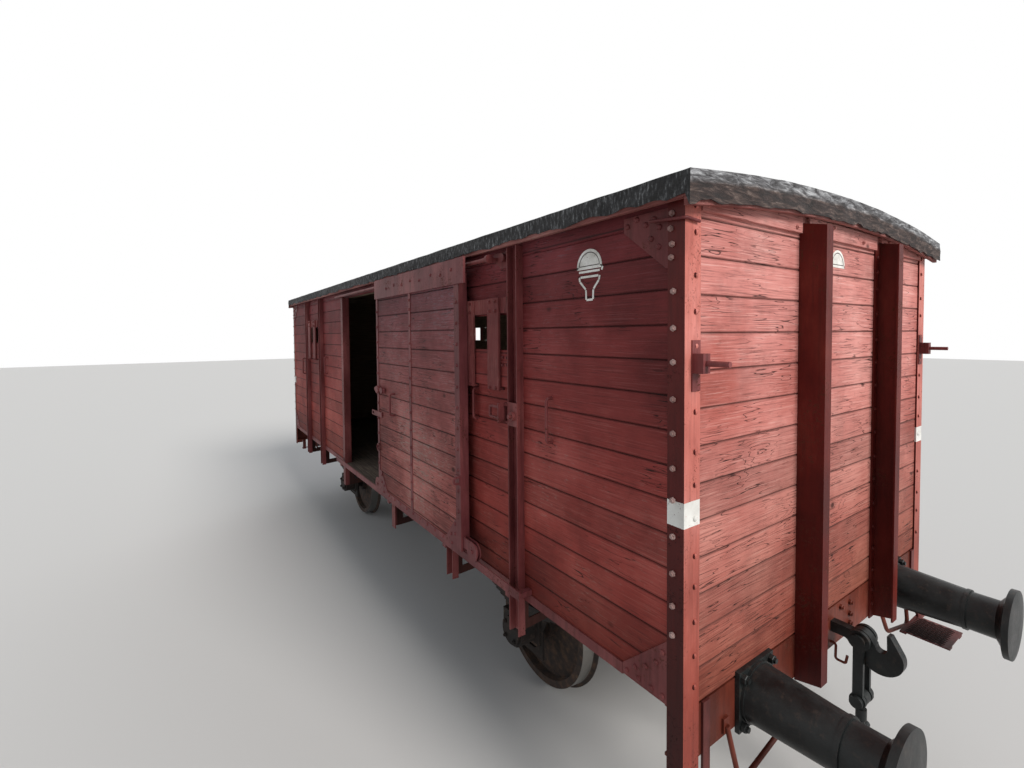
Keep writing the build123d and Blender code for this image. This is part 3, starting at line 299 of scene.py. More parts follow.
def greased_iron(name, dark, worn, gloss, crust):
    """Cast and forged iron under old oil and soot: near black, dull, with scabs and rubbed grey places."""
    made, tree = new_material(name)
    place = node(tree, "TexCoord", out="Object")
    cloud = node(tree, "TexNoise", {"Vector": place, "Scale": 7.0, "Detail": 6.0, "Roughness": 0.62})
    base = node(tree, "ValToRGB", {0: cloud}, stops=((0.36, dark), (0.64, worn)))

    # Casting sand with 3 mm grains, and scabs 40 mm across
    sand = node(tree, "TexNoise", {"Vector": place, "Scale": 330.0, "Detail": 3.0, "Roughness": 0.6})
    sand_tone = node(tree, "ValToRGB", {0: sand}, stops=((0.3, 0.62), (0.7, 1.0)))
    sanded = node(tree, "Mix", {0: 1.0, 6: base, 7: sand_tone}, **MULTIPLY)
    scab = node(tree, "TexNoise", {"Vector": place, "Scale": 26.0, "Detail": 8.0, "Roughness": 0.68})
    rust = node(tree, "ValToRGB", {0: scab}, stops=((0.55, 0.0), (0.66, crust)))
    colour = node(tree, "Mix", {0: rust, 6: sanded, 7: "#54443a"}, **MIX)
    grains = node(tree, "Math", {0: sand, 1: 0.3}, operation="MULTIPLY")
    height = node(tree, "Math", {0: scab, 1: 0.9, 2: grains}, operation="MULTIPLY_ADD")
    rough = node(tree, "MapRange", {"Value": cloud, **SPAN, "To Min": gloss, "To Max": gloss + 0.25})
    close_material(tree, colour, rough, height, 1.6 * MM, shine=0.32)
    return made


def roofing_felt(name):
    """Bitumen felt with mineral grit: bleached grey above, black and streaked where it is folded down."""
    made, tree = new_material(name)
    place = node(tree, "TexCoord", out="Object")
    grit = node(tree, "TexNoise", {"Vector": place, "Scale": 330.0, "Detail": 2.0, "Roughness": 0.7})
    cloud_place = node(tree, "Mapping", {"Vector": place, "Scale": (1.4, 2.6, 2.6)})
    cloud = node(tree, "TexNoise", {"Vector": cloud_place, "Scale": 1.0, "Detail": 7.0, "Roughness": 0.64})
    base = node(tree, "ValToRGB", {0: cloud}, stops=((0.32, "#5b5b5a"), (0.5, "#72716f"), (0.68, "#8b8a87")))
    grit_tone = node(tree, "ValToRGB", {0: grit}, stops=((0.3, 0.66), (0.7, 1.0)))
    gritty = node(tree, "Mix", {0: 1.0, 6: base, 7: grit_tone}, **MULTIPLY)

    # Laps of bitumen where the strips of felt meet, one metre apart
    axes = node(tree, "SeparateXYZ", {0: place}).node.outputs
    lap = node(tree, "Math", {0: axes[0], 1: 0.5}, operation="PINGPONG")
    lap_tone = node(tree, "ValToRGB", {0: lap}, stops=((0.0, 0.30), (0.012, 0.42), (0.05, 1.0)))
    lapped = node(tree, "Mix", {0: 1.0, 6: gritty, 7: lap_tone}, **MULTIPLY)

    # The folded skirt, with creases 22 mm high: dark along the sides, grey and brown across the ends
    facing = node(tree, "SeparateXYZ", {0: node(tree, "NewGeometry", out="Normal")}).node.outputs
    side_fold = node(tree, "ValToRGB", {0: facing[2]}, stops=((0.35, 1.0), (0.85, 0.0)))
    crease_place = node(tree, "Mapping", {"Vector": place, "Scale": (13, 9, 46)})
    crease = node(tree, "TexNoise", {"Vector": crease_place, "Scale": 1.0,
                                     "Detail": 7.0, "Roughness": 0.7, "Distortion": 0.5})

    # Scratches 15 mm apart that slant across the side fold
    slanted = node(tree, "Mapping", {"Vector": place, "Scale": (66, 20, 22), "Rotation": (0.0, 0.5, 0.0)})
    scratch = node(tree, "TexNoise", {"Vector": slanted, "Scale": 1.0, "Detail": 6.0, "Roughness": 0.66})
    side_colour = node(tree, "ValToRGB", {0: scratch},
                       stops=((0.42, "#0e0e0f"), (0.52, "#29292b"), (0.60, "#58595a"), (0.72, "#a2a3a4")))
    # Across the ends the colour follows the creases of the bump: painted shade in the folds and painted
    # highlight on the ridges, over grey felt and brown bitumen
    end_grey_with_crease_shade = node(tree, "ValToRGB", {0: crease},
                    stops=((0.36, "#1d1b1c"), (0.48, "#5c5b5d"), (0.58, "#97989a"), (0.70, "#cdced0")))
    end_brown_with_crease_shade = node(tree, "ValToRGB", {0: crease},
                     stops=((0.38, "#0f0605"), (0.50, "#2c1f1c"), (0.60, "#54453f"), (0.72, "#93857d")))

    # About 50 mm under the arch's edge the end fold turns brown with old bitumen, along a ragged line
    squared = node(tree, "Math", {0: axes[1], 1: axes[1]}, operation="MULTIPLY")
    bow = node(tree, "Math", {0: squared, 1: 0.5 / ROOF_RADIUS}, operation="MULTIPLY")
    level = node(tree, "Math", {0: axes[2], 1: bow}, operation="ADD")
    ragged = node(tree, "Math", {0: cloud, 1: 60 * MM, 2: level}, operation="MULTIPLY_ADD")
    browned = node(tree, "MapRange", {"Value": ragged, "From Min": FELT_HIGH.z - 8 * MM,
                                      "From Max": FELT_HIGH.z - 30 * MM})
    end_colour = node(tree, "Mix", {0: browned, 6: end_grey_with_crease_shade, 7: end_brown_with_crease_shade}, **MIX)
    endways = node(tree, "Math", {0: facing[0]}, operation="ABSOLUTE")
    end_fold = node(tree, "ValToRGB", {0: endways}, stops=((0.45, 0.0), (0.6, 1.0)))
    folded = node(tree, "Mix", {0: end_fold, 6: side_colour, 7: end_colour}, **MIX)
    colour = node(tree, "Mix", {0: side_fold, 6: lapped, 7: folded}, **MIX)
    grains = node(tree, "Math", {0: grit, 1: 0.2}, operation="MULTIPLY")
    height = node(tree, "Math", {0: crease, 1: 1.1, 2: grains}, operation="MULTIPLY_ADD")
    rough = node(tree, "MapRange", {"Value": cloud, **SPAN, "To Min": 0.92, "To Max": 0.72})
    close_material(tree, colour, rough, height, 8.0 * MM)
    return made


def worn_planks(name):
    """Unpainted oak floor planks, grey-brown from boots and damp, with the grain along the wagon."""
    made, tree = new_material(name)
    place = node(tree, "TexCoord", out="Object")
    across = node(tree, "SeparateXYZ", {0: place}, out="Y")
    number = node(tree, "Math", {0: across, 1: PLANK_PITCH}, operation="DIVIDE")
    row = node(tree, "Math", {0: number, 1: 0.5}, operation="ADD")
    plank = node(tree, "Math", {0: row}, operation="FLOOR")
    lot = node(tree, "TexWhiteNoise", {"W": plank}, noise_dimensions="1D").node.outputs
    own = node(tree, "VectorMath", {0: lot["Color"], 1: (29.0, 29.0, 29.0), 2: place},
               operation="MULTIPLY_ADD")

    # Fibres 8 mm apart and 250 mm long
    fibre_place = node(tree, "Mapping", {"Vector": own, "Scale": (4, 130, 130)})
    fibre = node(tree, "TexNoise", {"Vector": fibre_place, "Scale": 1.0, "Detail": 5.0, "Roughness": 0.6})
    base = node(tree, "ValToRGB", {0: fibre}, stops=((0.3, "#2f2822"), (0.5, "#5d5046"), (0.72, "#857566")))
    tone = node(tree, "MapRange", {"Value": lot["Value"], "To Min": 0.75, "To Max": 1.1})
    toned = node(tree, "VectorMath", {0: base, "Scale": tone}, operation="SCALE")
    dirt = node(tree, "TexNoise", {"Vector": place, "Scale": 3.0, "Detail": 4.0, "Roughness": 0.6})
    dirt_tone = node(tree, "ValToRGB", {0: dirt}, stops=((0.35, 0.58), (0.65, 1.0)))
    colour = node(tree, "Mix", {0: 1.0, 6: toned, 7: dirt_tone}, **MULTIPLY)
    rough = node(tree, "MapRange", {"Value": fibre, **SPAN, "To Min": 0.88, "To Max": 0.68})
    close_material(tree, colour, rough, fibre, 2.2 * MM)
    return made


def wheel_steel(name):
    """Forged wheel steel: brown brake dust and rust on the disc, with a rolled bright band on the tread."""
    made, tree = new_material(name)
    place = node(tree, "TexCoord", out="Object")
    scale = node(tree, "TexNoise", {"Vector": place, "Scale": 18.0, "Detail": 7.0, "Roughness": 0.64})
    grit = node(tree, "TexNoise", {"Vector": place, "Scale": 230.0, "Detail": 3.0, "Roughness": 0.6})
    base = node(tree, "ValToRGB", {0: scale}, stops=((0.34, "#1f1916"), (0.5, "#3a2b23"), (0.68, "#5e4635")))
    grit_tone = node(tree, "ValToRGB", {0: grit}, stops=((0.3, 0.7), (0.7, 1.0)))
    dusty = node(tree, "Mix", {0: 1.0, 6: base, 7: grit_tone}, **MULTIPLY)

    # Distance from the axle of either wheelset, and the bright band on the tread
    axes = node(tree, "SeparateXYZ", {0: place}).node.outputs
    along = node(tree, "Math", {0: axes[0]}, operation="ABSOLUTE")
    fore = node(tree, "Math", {0: along, 1: HALF_WHEELBASE * MM}, operation="SUBTRACT")
    up = node(tree, "Math", {0: axes[2], 1: AXLE_HEIGHT}, operation="SUBTRACT")
    spoke = node(tree, "CombineXYZ", {0: fore, 1: up})
    radius = node(tree, "VectorMath", {0: spoke}, out="Value", operation="LENGTH")
    rolled = node(tree, "Math", {0: radius, 1: TREAD_RADIUS, 2: TREAD_BAND}, operation="COMPARE")
    colour = node(tree, "Mix", {0: rolled, 6: dusty, 7: "#8d8a86"}, **MIX)
    rough = node(tree, "MapRange", {"Value": rolled, "To Min": 0.8, "To Max": 0.35})
    close_material(tree, colour, rough, grit, 0.8 * MM, metal=rolled)
    return made


def dirty_enamel(name, shades):
    """Brush-painted enamel gone chalky: soft sheen, with grey dirt and the red beneath in its pinholes."""
    made, tree = new_material(name)
    place = node(tree, "TexCoord", out="Object")
    cloud = node(tree, "TexNoise", {"Vector": place, "Scale": 14.0, "Detail": 4.0, "Roughness": 0.6})
    base = node(tree, "ValToRGB", {0: cloud}, stops=tuple(zip((0.34, 0.5, 0.68), shades)))
    pin = node(tree, "TexNoise", {"Vector": place, "Scale": 110.0, "Detail": 6.0, "Roughness": 0.7})
    hole = node(tree, "ValToRGB", {0: pin}, stops=((0.61, 0.0), (0.65, 0.7)))
    colour = node(tree, "Mix", {0: hole, 6: base, 7: "#6d4a42"}, **MIX)
    rough = node(tree, "MapRange", {"Value": cloud, **SPAN, "To Min": 0.7, "To Max": 0.5})
    close_material(tree, colour, rough, pin, 0.4 * MM)
    return made


SIDE_SHADES = ("#742c28", "#99413a", "#b35b52")
SIDE_DUST = "#bf8276"
# Bluish painted shade that darkens the side walls and door leaves towards the eaves
EAVES_SHADE = "#b0a8c8"
side_paint = painted_boards("red_oxide_on_side_boards", 0, SIDE_PITCH, DECK, SIDE_SHADES, SIDE_DUST, 0.35,
                            EAVES_SHADE, SIDE_FACE - PAINTED_SKIN, (0.55, "#bea89c"))
# The end boards carry the sides' red oxide painted much lighter, as painted light of the sun on the ends;
# their near-white dust colour is a painted highlight of sheen
end_paint = painted_boards("red_oxide_on_end_boards", 1, END_PITCH, DECK + END_FIRST_JOINT,
                           ("#ad5f56", "#c9827a", "#de9d94"), "#f6d2c9", 0.2, None, END_FACE - PAINTED_SKIN,
                           (1.6, "#b09380"), 1.0)
door_paint = painted_boards("red_oxide_on_door_boards", 0, SIDE_PITCH, DECK,
                            ("#6c3430", "#9a554f", "#be7a72"), "#d2a8a0", 0.8, EAVES_SHADE, weathered=1.0)
slat_paint = painted_boards("red_oxide_on_window_boards", 2, 130 * MM, 0.0, ("#62292b", "#80403f", "#9a5754"),
                            "#b08078", 0.4)
trim_paint = painted_boards("red_oxide_on_roof_timber", 0, 2.0, 0.0, ("#7c4440", "#935a54", "#a8706a"),
                            "#c89c94", 0.4)
bow_wood = painted_boards("limewashed_roof_timber", 0, 2.0, 0.0, ("#6a5a4c", "#83715f", "#9a8874"), "#b8aa98",
                          0.5)
steel_paint = painted_steel("red_oxide_on_fittings", ("#5e292a", "#753a3a", "#8c4d4b"), 0.9, 0.5)
headstock_paint = painted_steel("red_oxide_on_headstocks", ("#4c1f16", "#652d20", "#844436"), 0.9, 0.5)
# The corner posts are painted light like the end boards, and their faces towards the sides are darkened back
# as painted shade
corner_paint = painted_steel("red_oxide_on_corner_posts", ("#ac5c52", "#c87468", "#da8a80"), 0.7, 0.48,
                             (801, 909), "#744143", (1.2, "#b8968a"))
door_steel = painted_steel("red_oxide_on_door_frames", ("#5c2a2d", "#743c3e", "#8c504f"), 0.9, 0.5)
stanchion_paint = painted_steel("dark_red_on_stanchions", ("#480e0a", "#5c1812", "#722c22"), 0.9, 0.5)
bolt_steel = painted_steel("worn_paint_on_bolts", ("#7e5c58", "#a2827c", "#c2a8a2"), 0.6, 0.42)
frame_paint = painted_steel("grimy_red_on_underframe", ("#2a1613", "#41231e", "#5a312a"), 1.0, 0.7)
step_paint = painted_steel("dark_red_on_steps", ("#4a211e", "#6a3431", "#86504a"), 0.9, 0.5)
# Near-black painted shade for the holes of the step treads
tread_hole_shade = painted_steel("painted_shade_in_tread_holes", ("#140a09", "#1f100e", "#2e1c18"), 0.9, 0.8)
draw_iron = greased_iron("greased_cast_iron", "#0b0d0d", "#272b2b", 0.30, 0.25)
running_iron = greased_iron("sooty_cast_iron", "#151211", "#332b27", 0.64, 0.6)
rolled_wheel = wheel_steel("dusty_wheel_steel")
felt = roofing_felt("grit_roofing_felt")
planks = worn_planks("worn_floor_planks")
white_enamel = dirty_enamel("dirty_white_enamel", ("#bdbab2", "#dedcd5", "#efeee9"))
dark_enamel = dirty_enamel("dirty_dark_enamel", ("#2a2422", "#38302d", "#463c38"))

FINISHES = {
    side_paint: ("side_boards_right", "side_boards_left",
                 *(name for name in NODES if name.startswith("window_shutter"))),
    slat_paint: ("window_slats",),
    trim_paint: ("roof_fascias",),
    bow_wood: ("cantrails", "roof_bows", "roof_boards"),
    door_paint: ("door_boards_right", "door_boards_left"),
    end_paint: ("end_boards_front", "end_boards_rear"),
    corner_paint: ("corner_posts",),
    steel_paint: ("side_posts", "corner_gussets", "side_sills", "door_guides", "lock_plates", "grab_handles",
                  "lamp_brackets", "door_posts"),
    headstock_paint: ("headstocks", "coupling_rests", "buffer_grab_rods"),
    door_steel: ("door_frame_right", "door_frame_left", "door_latch_right", "door_latch_left",
                 "door_rollers_right", "door_rollers_left", "door_rails"),
    step_paint: ("shunter_steps",),
    stanchion_paint: ("end_stanchions",),
    frame_paint: ("sole_bars", "cross_bearers", "side_brackets"),
    felt: ("roof_felt",),
    planks: ("floor_planks", "door_sills"),
    draw_iron: ("buffer_casings", "buffer_plungers", "draw_hooks", "screw_couplings"),
    running_iron: ("axle_guards", "axle_boxes", "leaf_springs", "spring_hangers", "axle_front", "axle_rear"),
    rolled_wheel: ("wheels_front", "wheels_rear"),
}
for made, names in FINISHES.items():
    for name in names:
        for place in NODES[name].material_slots:
            place.material = made


# Modelling

def deselect():
    """Leave nothing selected, so that an operator acts on the new piece alone."""
    for thing in bpy.context.selected_objects:
        thing.select_set(False)


def pick(kind, wanted):
    """Select only the faces or edges of the piece in edit mode that pass a test of their place or normal."""
    bpy.ops.mesh.select_mode(type=kind)
    bpy.ops.mesh.select_all(action="DESELECT")
    mesh = bmesh.from_edit_mesh(bpy.context.object.data)
    for element in mesh.faces if kind == "FACE" else mesh.edges:
        if wanted(element):
            element.select_set(True)
    mesh.select_flush_mode()
    bmesh.update_edit_mesh(bpy.context.object.data)


def settle(name, made, body):
    """Leave edit mode, put the piece's place into its mesh, and give it a finish and the body it rides on."""
    bpy.ops.object.mode_set(mode="OBJECT")
    bpy.ops.object.transform_apply(location=True, rotation=True, scale=True)
    piece = bpy.context.object
    piece.name = name
    if not piece.data.materials:
        piece.data.materials.append(made)
    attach(piece, body)
    return piece


def copy_turned(piece, name, turn):
    """A copy of a piece with its own mesh, moved by a matrix."""
    copy = piece.copy()
    copy.data = piece.data.copy()
    copy.data.transform(turn)
    copy.name = name
    bpy.context.scene.collection.objects.link(copy)
    return copy


HALF_TURN = Matrix.Rotation(math.pi, 4, "Z")


# Roof felt: a crumpled sheet over the boards, with an uneven skirt on every side

SKIRT = 88 * MM
LONGER_ENDS = 46 * MM
FOLD_REACH = 40 * MM


def lay_felt():
    """The felt sheet, bent over the arch and folded down all round."""
    deselect()
    half, radius = FELT_HIGH.y, ROOF_RADIUS
    bpy.ops.mesh.primitive_cylinder_add(vertices=2400, radius=radius, depth=2 * FELT_HIGH.x,
                                        end_fill_type="NOTHING", rotation=(0, math.pi / 2, 0),
                                        location=(0, 0, FELT_HIGH.z - radius))
    bpy.ops.object.transform_apply(location=True, rotation=True, scale=True)
    bpy.ops.object.mode_set(mode="EDIT")
    for side in (-1, 1):
        bpy.ops.mesh.select_all(action="SELECT")
        bpy.ops.mesh.bisect(plane_co=(0, side * half, 0), plane_no=(0, side, 0), clear_outer=True)
    bpy.ops.mesh.select_all(action="SELECT")
    bpy.ops.mesh.bisect(plane_co=(0, 0, FELT_LOW.z - 1), plane_no=(0, 0, -1), clear_outer=True)
    for cuts in (16, 15):
        pick("EDGE", lambda edge: abs((edge.verts[0].co - edge.verts[1].co).normalized().x) > 0.9)
        bpy.ops.mesh.subdivide(number_cuts=cuts)
    pick("EDGE", lambda edge: edge.is_boundary)
    bpy.ops.mesh.extrude_region_move(TRANSFORM_OT_translate={"value": (0, 0, -SKIRT)})
    rim = FELT_HIGH.x - 1 * MM
    pick("EDGE", lambda edge: edge.is_boundary and min(abs(v.co.x) for v in edge.verts) > rim)
    bpy.ops.transform.translate(value=(0, 0, -LONGER_ENDS))
    pick("EDGE", lambda edge: abs((edge.verts[0].co - edge.verts[1].co).normalized().z) > 0.9)
    bpy.ops.mesh.subdivide(number_cuts=5)
    bpy.ops.mesh.select_all(action="SELECT")
    bpy.ops.mesh.remove_doubles(threshold=0.5 * MM)
    bpy.ops.mesh.normals_make_consistent(inside=False)
    piece = settle("felt_cover", felt, "wagon")

    # The skirt crumples freely, the top only ripples, and the hem wanders up and down
    skirt, sheet, hem = (piece.vertex_groups.new(name=name) for name in ("skirt", "sheet", "hem"))
    for vertex in piece.data.vertices:
        across, up = vertex.co.y, vertex.co.z
        drop = FELT_HIGH.z - (radius - math.sqrt(radius**2 - min(abs(across), half)**2)) - up
        fold = min(1.0, max(0.0, drop / FOLD_REACH))
        skirt.add([vertex.index], fold, "REPLACE")
        sheet.add([vertex.index], 1.0 - fold, "REPLACE")
        hem.add([vertex.index], min(1.0, max(0.0, drop / SKIRT)) ** 2, "REPLACE")
    for name, size, group, strength, level, direction in (
            ("big_creases", 150, "skirt", 18, 0.62, "NORMAL"),
            ("small_creases", 45, "skirt", 12, 0.62, "NORMAL"),
            ("ripples", 260, "sheet", 7, 1.0, "NORMAL"),
            ("hem_line", 110, "hem", 44, 0.5, "Z")):
        texture = bpy.data.textures.new(name, "CLOUDS")
        texture.noise_scale = size * MM
        texture.noise_depth = 2
        crumple = piece.modifiers.new(name, "DISPLACE")
        crumple.texture = texture
        crumple.vertex_group = group
        crumple.strength = strength * MM
        crumple.mid_level = level
        crumple.direction = direction
        bpy.ops.object.modifier_apply(modifier=name)
    thick = piece.modifiers.new("thick", "SOLIDIFY")
    thick.thickness = 4 * MM
    thick.offset = -1.0
    bpy.ops.object.modifier_apply(modifier="thick")
    bpy.ops.object.shade_smooth_by_angle(angle=math.radians(50))
    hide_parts("roof_felt")


# Fasteners

def forge(sides, across, tall, foot, insets):
    """A prism in millimetres whose foot is sunk in the face it sits on, with its top stepped in by insets."""
    deselect()
    bpy.ops.mesh.primitive_cylinder_add(vertices=sides, radius=across / 2 * MM, depth=tall * MM,
                                        location=(0, 0, (tall / 2 - foot) * MM))
    bpy.ops.object.mode_set(mode="EDIT")
    pick("FACE", lambda face: face.normal.z > 0.5)
    for thickness, depth in insets:
        bpy.ops.mesh.inset(thickness=thickness * MM, depth=depth * MM)
    bpy.ops.object.mode_set(mode="OBJECT")
    bpy.ops.object.transform_apply(location=True, rotation=True, scale=True)
    return bpy.context.object


def forge_rivet():
    """One round rivet head, 26 mm across."""
    rivet = forge(10, 26, 4, 0.5, ((4, 4), (4, 1.5)))
    bpy.ops.object.shade_smooth_by_angle(angle=math.radians(60))
    return rivet


def forge_nut(across, tall):
    """One six-sided nut with a chamfer and the end of its bolt, that many millimetres across."""
    insets = ((across * 0.06, across * 0.05), (across * 0.10, 0), (0.2, across * 0.22))
    return forge(6, across, tall, 1, insets)


def forge_lozenge():
    """A dark lozenge of painted shade that stands for one hole of a step's tread, 34 mm long and a little
    hollow.
    """
    lozenge = forge(4, 34, 2, 0.8, ((3, -0.6),))
    lozenge.scale.y = 0.62
    bpy.ops.object.transform_apply(location=False, rotation=False, scale=True)
    return lozenge


def spread(head, name, made, places, body="wagon"):
    """Copy one head to each place, turned to face outwards there, and join the copies into one piece."""
    copies = []
    for facing, spot in places:
        turn = facing.to_track_quat("Z", "Y").to_matrix().to_4x4()
        copies.append(copy_turned(head, name, Matrix.Translation(spot) @ turn))
    deselect()
    for copy in copies:
        copy.select_set(True)
    bpy.context.view_layer.objects.active = copies[0]
    bpy.ops.object.join()
    settle(name, made, body)


def on_side(face, pairs):
    """Places on a face that looks along -Y, from lengths and heights above the deck in millimetres."""
    return [(Vector((0, -1, 0)), Vector((x * MM, -face, DECK + z * MM))) for x, z in pairs]


def on_end(face, pairs):
    """Places on a face that looks along +X, from widths and heights above the deck in millimetres."""
    return [(Vector((1, 0, 0)), Vector((face, y * MM, DECK + z * MM))) for y, z in pairs]


def turned(places, x_sign=-1, y_sign=-1):
    """The same places mirrored along X, along Y or both."""
    flip = Vector((x_sign, y_sign, 1))
    return [(facing * flip, spot * flip) for facing, spot in places]


def both_ends(places):
    """Places with their half turn about the upright axis."""
    return places + turned(places)


def four_corners(places):
    """Places with their mirror images on all four corners."""
    return places + turned(places, -1, 1) + turned(places, 1, -1) + turned(places, -1, -1)


def column(x, heights):
    """Pairs of one place across and many heights."""
    return [(x, height) for height in heights]


# Places of the fasteners in millimetres: columns and heights first, then pairs of a place and its height
POST_X, DOOR_POST_X, CORNER_X = 2819, 1975, 3947
LEG_Y, NEAR_FLANGE_Y, FAR_FLANGE_Y = 1356, -418, 553
NEAR_STILE_X, STRAP_X, FAR_STILE_X = 792, -25, -810
OPEN_LEAF = 1465
POST_HEIGHTS = (2083, 1992, 1880, 1749, 1616, 1501, 1357, 1211, 1061, 911, 760, 611, 461, 310, 161, 60)
CORNER_HEIGHTS = (1789, 1635, 1493, 1337, 1193, 1045, 910, 755, 596, 456, 330)
NEAR_LEG_HEIGHTS = (2140, 2032, 1855, 1704, 1560, 1285, 1116, 976, 833, 672, 540, 388, 240, 105)
FAR_LEG_HEIGHTS = (2135, 2027, 1852, 1727, 1575, 1402, 1292, 1131, 991, 858, 582, 424, 289, 125)
FLANGE_HEIGHTS = (2081, 1989, 1884, 1725, 1562, 1416, 1271, 1117, 967, 811, 664, 506, 354, 210, 70, -60,
                  -150)
STILE_HEIGHTS = (1842, 1696, 1550, 1404, 1252, 1109, 962, 815, 668, 521, 374)
STRAP_HEIGHTS = (1906, 1831, 1693, 1548, 1400, 1258, 1112, 967, 820, 673, 526, 379, 232)
GUSSET_BOLTS = ((3846, 2106), (3751, 2122), (3697, 2100), (3800, 2090), (3873, 2068), (3829, 2025),
                (3868, 1985))
LOW_GUSSET_BOLTS = ((3690, 26), (3760, 26), (3832, 26), (3893, 26), (3740, 70), (3802, 108), (3858, 158),
                    (3893, 222))
CORNER_TOP_BOLTS = ((3940, 2112), (3933, 2050), (3940, 1985), (3936, 1930))
HOOK_BOLTS = ((-231, -45), (-231, -115), (-231, -172), (231, -45), (231, -115), (231, -172), (-102, -32),
              (102, -32))
BATTEN_NAILS = ((-1280, 2150), (-900, 2192), (-520, 2150), (-102, 2192), (300, 2150), (700, 2192),
                (941, 2192), (1250, 2150))
LEAF_FOOT_RIVETS = [(x, 118) for x in range(-690, 700, 138)]
LEAF_CORNER_RIVETS = [(740, 200), (740, 270), (680, 180), (-740, 200), (-740, 270), (-680, 180)]
WEATHER_RIVETS = ((-518, 2043), (-332, 2060), (-153, 2046), (30, 2061), (211, 2048), (415, 2068), (577, 2051),
                  (745, 2071))
SHUTTER_NAILS = ((2696, 1470), (2742, 1470), (2695, 1422), (2741, 1425))
SLAT_NAILS = [(x + shift, z) for x in (2295, 2610) for shift in (-34, 34) for z in (1826, 1766, 1273)]
BUFFER_NUTS = [(875 + across, -115 + up) for across in (-122, 122) for up in (-116, 116)]
LID_NUTS = [(HALF_WHEELBASE + 78 * math.cos(turn), -640 + 78 * math.sin(turn))
            for turn in (math.pi / 4 * n for n in (1, 3, 5, 7))]
GUARD_NUTS = [(HALF_WHEELBASE + reach, z) for reach in (-440, -300, -160, 0, 160, 300, 440)
              for z in (-58, -96)]


def fasten():
    """Rivets, bolt heads and nuts wherever the photograph shows them, and on the hidden sides alike."""
    rivet, nut = forge_rivet(), forge_nut(34, 14)
    big_nut, small_nut, post_nut = forge_nut(46, 22), forge_nut(22, 8), forge_nut(27, 9)
    posts = on_side(POST_FACE, column(POST_X, POST_HEIGHTS) + column(DOOR_POST_X, POST_HEIGHTS))
    plates = on_side(POST_FACE, GUSSET_BOLTS + LOW_GUSSET_BOLTS)
    spread(rivet, "body_rivets", steel_paint, four_corners(posts + plates))
    corners = on_side(HALF_WIDTH, column(CORNER_X, CORNER_HEIGHTS) + list(CORNER_TOP_BOLTS))
    spread(post_nut, "corner_nuts", bolt_steel, four_corners(corners))
    legs = on_end(HALF_LENGTH, column(-LEG_Y, NEAR_LEG_HEIGHTS) + column(LEG_Y, FAR_LEG_HEIGHTS))
    spread(rivet, "leg_rivets", corner_paint, both_ends(legs))
    flanges = on_end(STANCHION_FACE,
                     column(NEAR_FLANGE_Y, FLANGE_HEIGHTS) + column(FAR_FLANGE_Y, FLANGE_HEIGHTS))
    spread(rivet, "stanchion_rivets", stanchion_paint, both_ends(flanges))

    # Nuts of the buffers, the draw hook, the axle guards and the axle box lids
    buffers = four_corners(on_end(BUFFER_BASE_FACE, BUFFER_NUTS))
    spread(big_nut, "buffer_nuts", draw_iron, buffers)
    spread(nut, "headstock_nuts", headstock_paint, both_ends(on_end(END_FACE, HOOK_BOLTS)))
    running = four_corners(on_side(LID_FACE, LID_NUTS) + on_side(GUARD_FACE, GUARD_NUTS))
    spread(nut, "running_nuts", running_iron, running)

    # Nails of the battens and window boards
    spread(small_nut, "end_nails", end_paint, both_ends(on_end(BATTEN_FACE, BATTEN_NAILS)))
    spread(small_nut, "slat_nails", steel_paint, four_corners(on_side(SLAT_FACE, SLAT_NAILS)))

    # Door leaves: stiles, middle strap, foot strap and weather board
    leaf = (column(NEAR_STILE_X, STILE_HEIGHTS) + column(STRAP_X, STRAP_HEIGHTS)
            + column(FAR_STILE_X, STILE_HEIGHTS) + LEAF_FOOT_RIVETS + LEAF_CORNER_RIVETS)
    for body, shift, move in (("door_right", OPEN_LEAF, list), ("door_left", 0, turned)):
        heads = on_side(STILE_FACE, [(x + shift, z) for x, z in leaf])
        boards = on_side(WEATHER_FACE, [(x + shift, z) for x, z in WEATHER_RIVETS])
        spread(rivet, f"{body}_rivets", door_steel, move(heads + boards), body)
    heads = on_side(SHUTTER_FACE, SHUTTER_NAILS)
    for side, y_sign in (("right", 1), ("left", -1)):
        for end, x_sign in (("front", 1), ("rear", -1)):
            body = f"shutter_{side}_{end}"
            spread(small_nut, f"{body}_nails", steel_paint, turned(heads, x_sign, y_sign), body)
    for head in (rivet, nut, big_nut, small_nut, post_nut):
        bpy.data.objects.remove(head)


# Each front tread's low corner, its size along the wagon and across it, and its drop below the deck
TREADS = ((4101, 858, 200, 270, 400), (4016, -1382, 190, 235, 640))
ROW_PITCH = 21
FILE_PITCH = 27


def tread_the_steps():
    """A lattice on the treads: dark lozenges of painted shade in rows 21 mm apart, every other row moved by
    half a pitch.
    """
    lozenge = forge_lozenge()
    places = []
    for x0, y0, wide, long, drop in TREADS:
        for row in range(int(wide / ROW_PITCH)):
            for file in range(int(long / FILE_PITCH)):
                x, y = x0 + row * ROW_PITCH, y0 + file * FILE_PITCH + row % 2 * FILE_PITCH / 2
                places.append((Vector((0, 0, 1)), Vector((x * MM, y * MM, DECK - drop * MM))))
    spread(lozenge, "tread_lattice", tread_hole_shade, both_ends(places))
    bpy.data.objects.remove(lozenge)


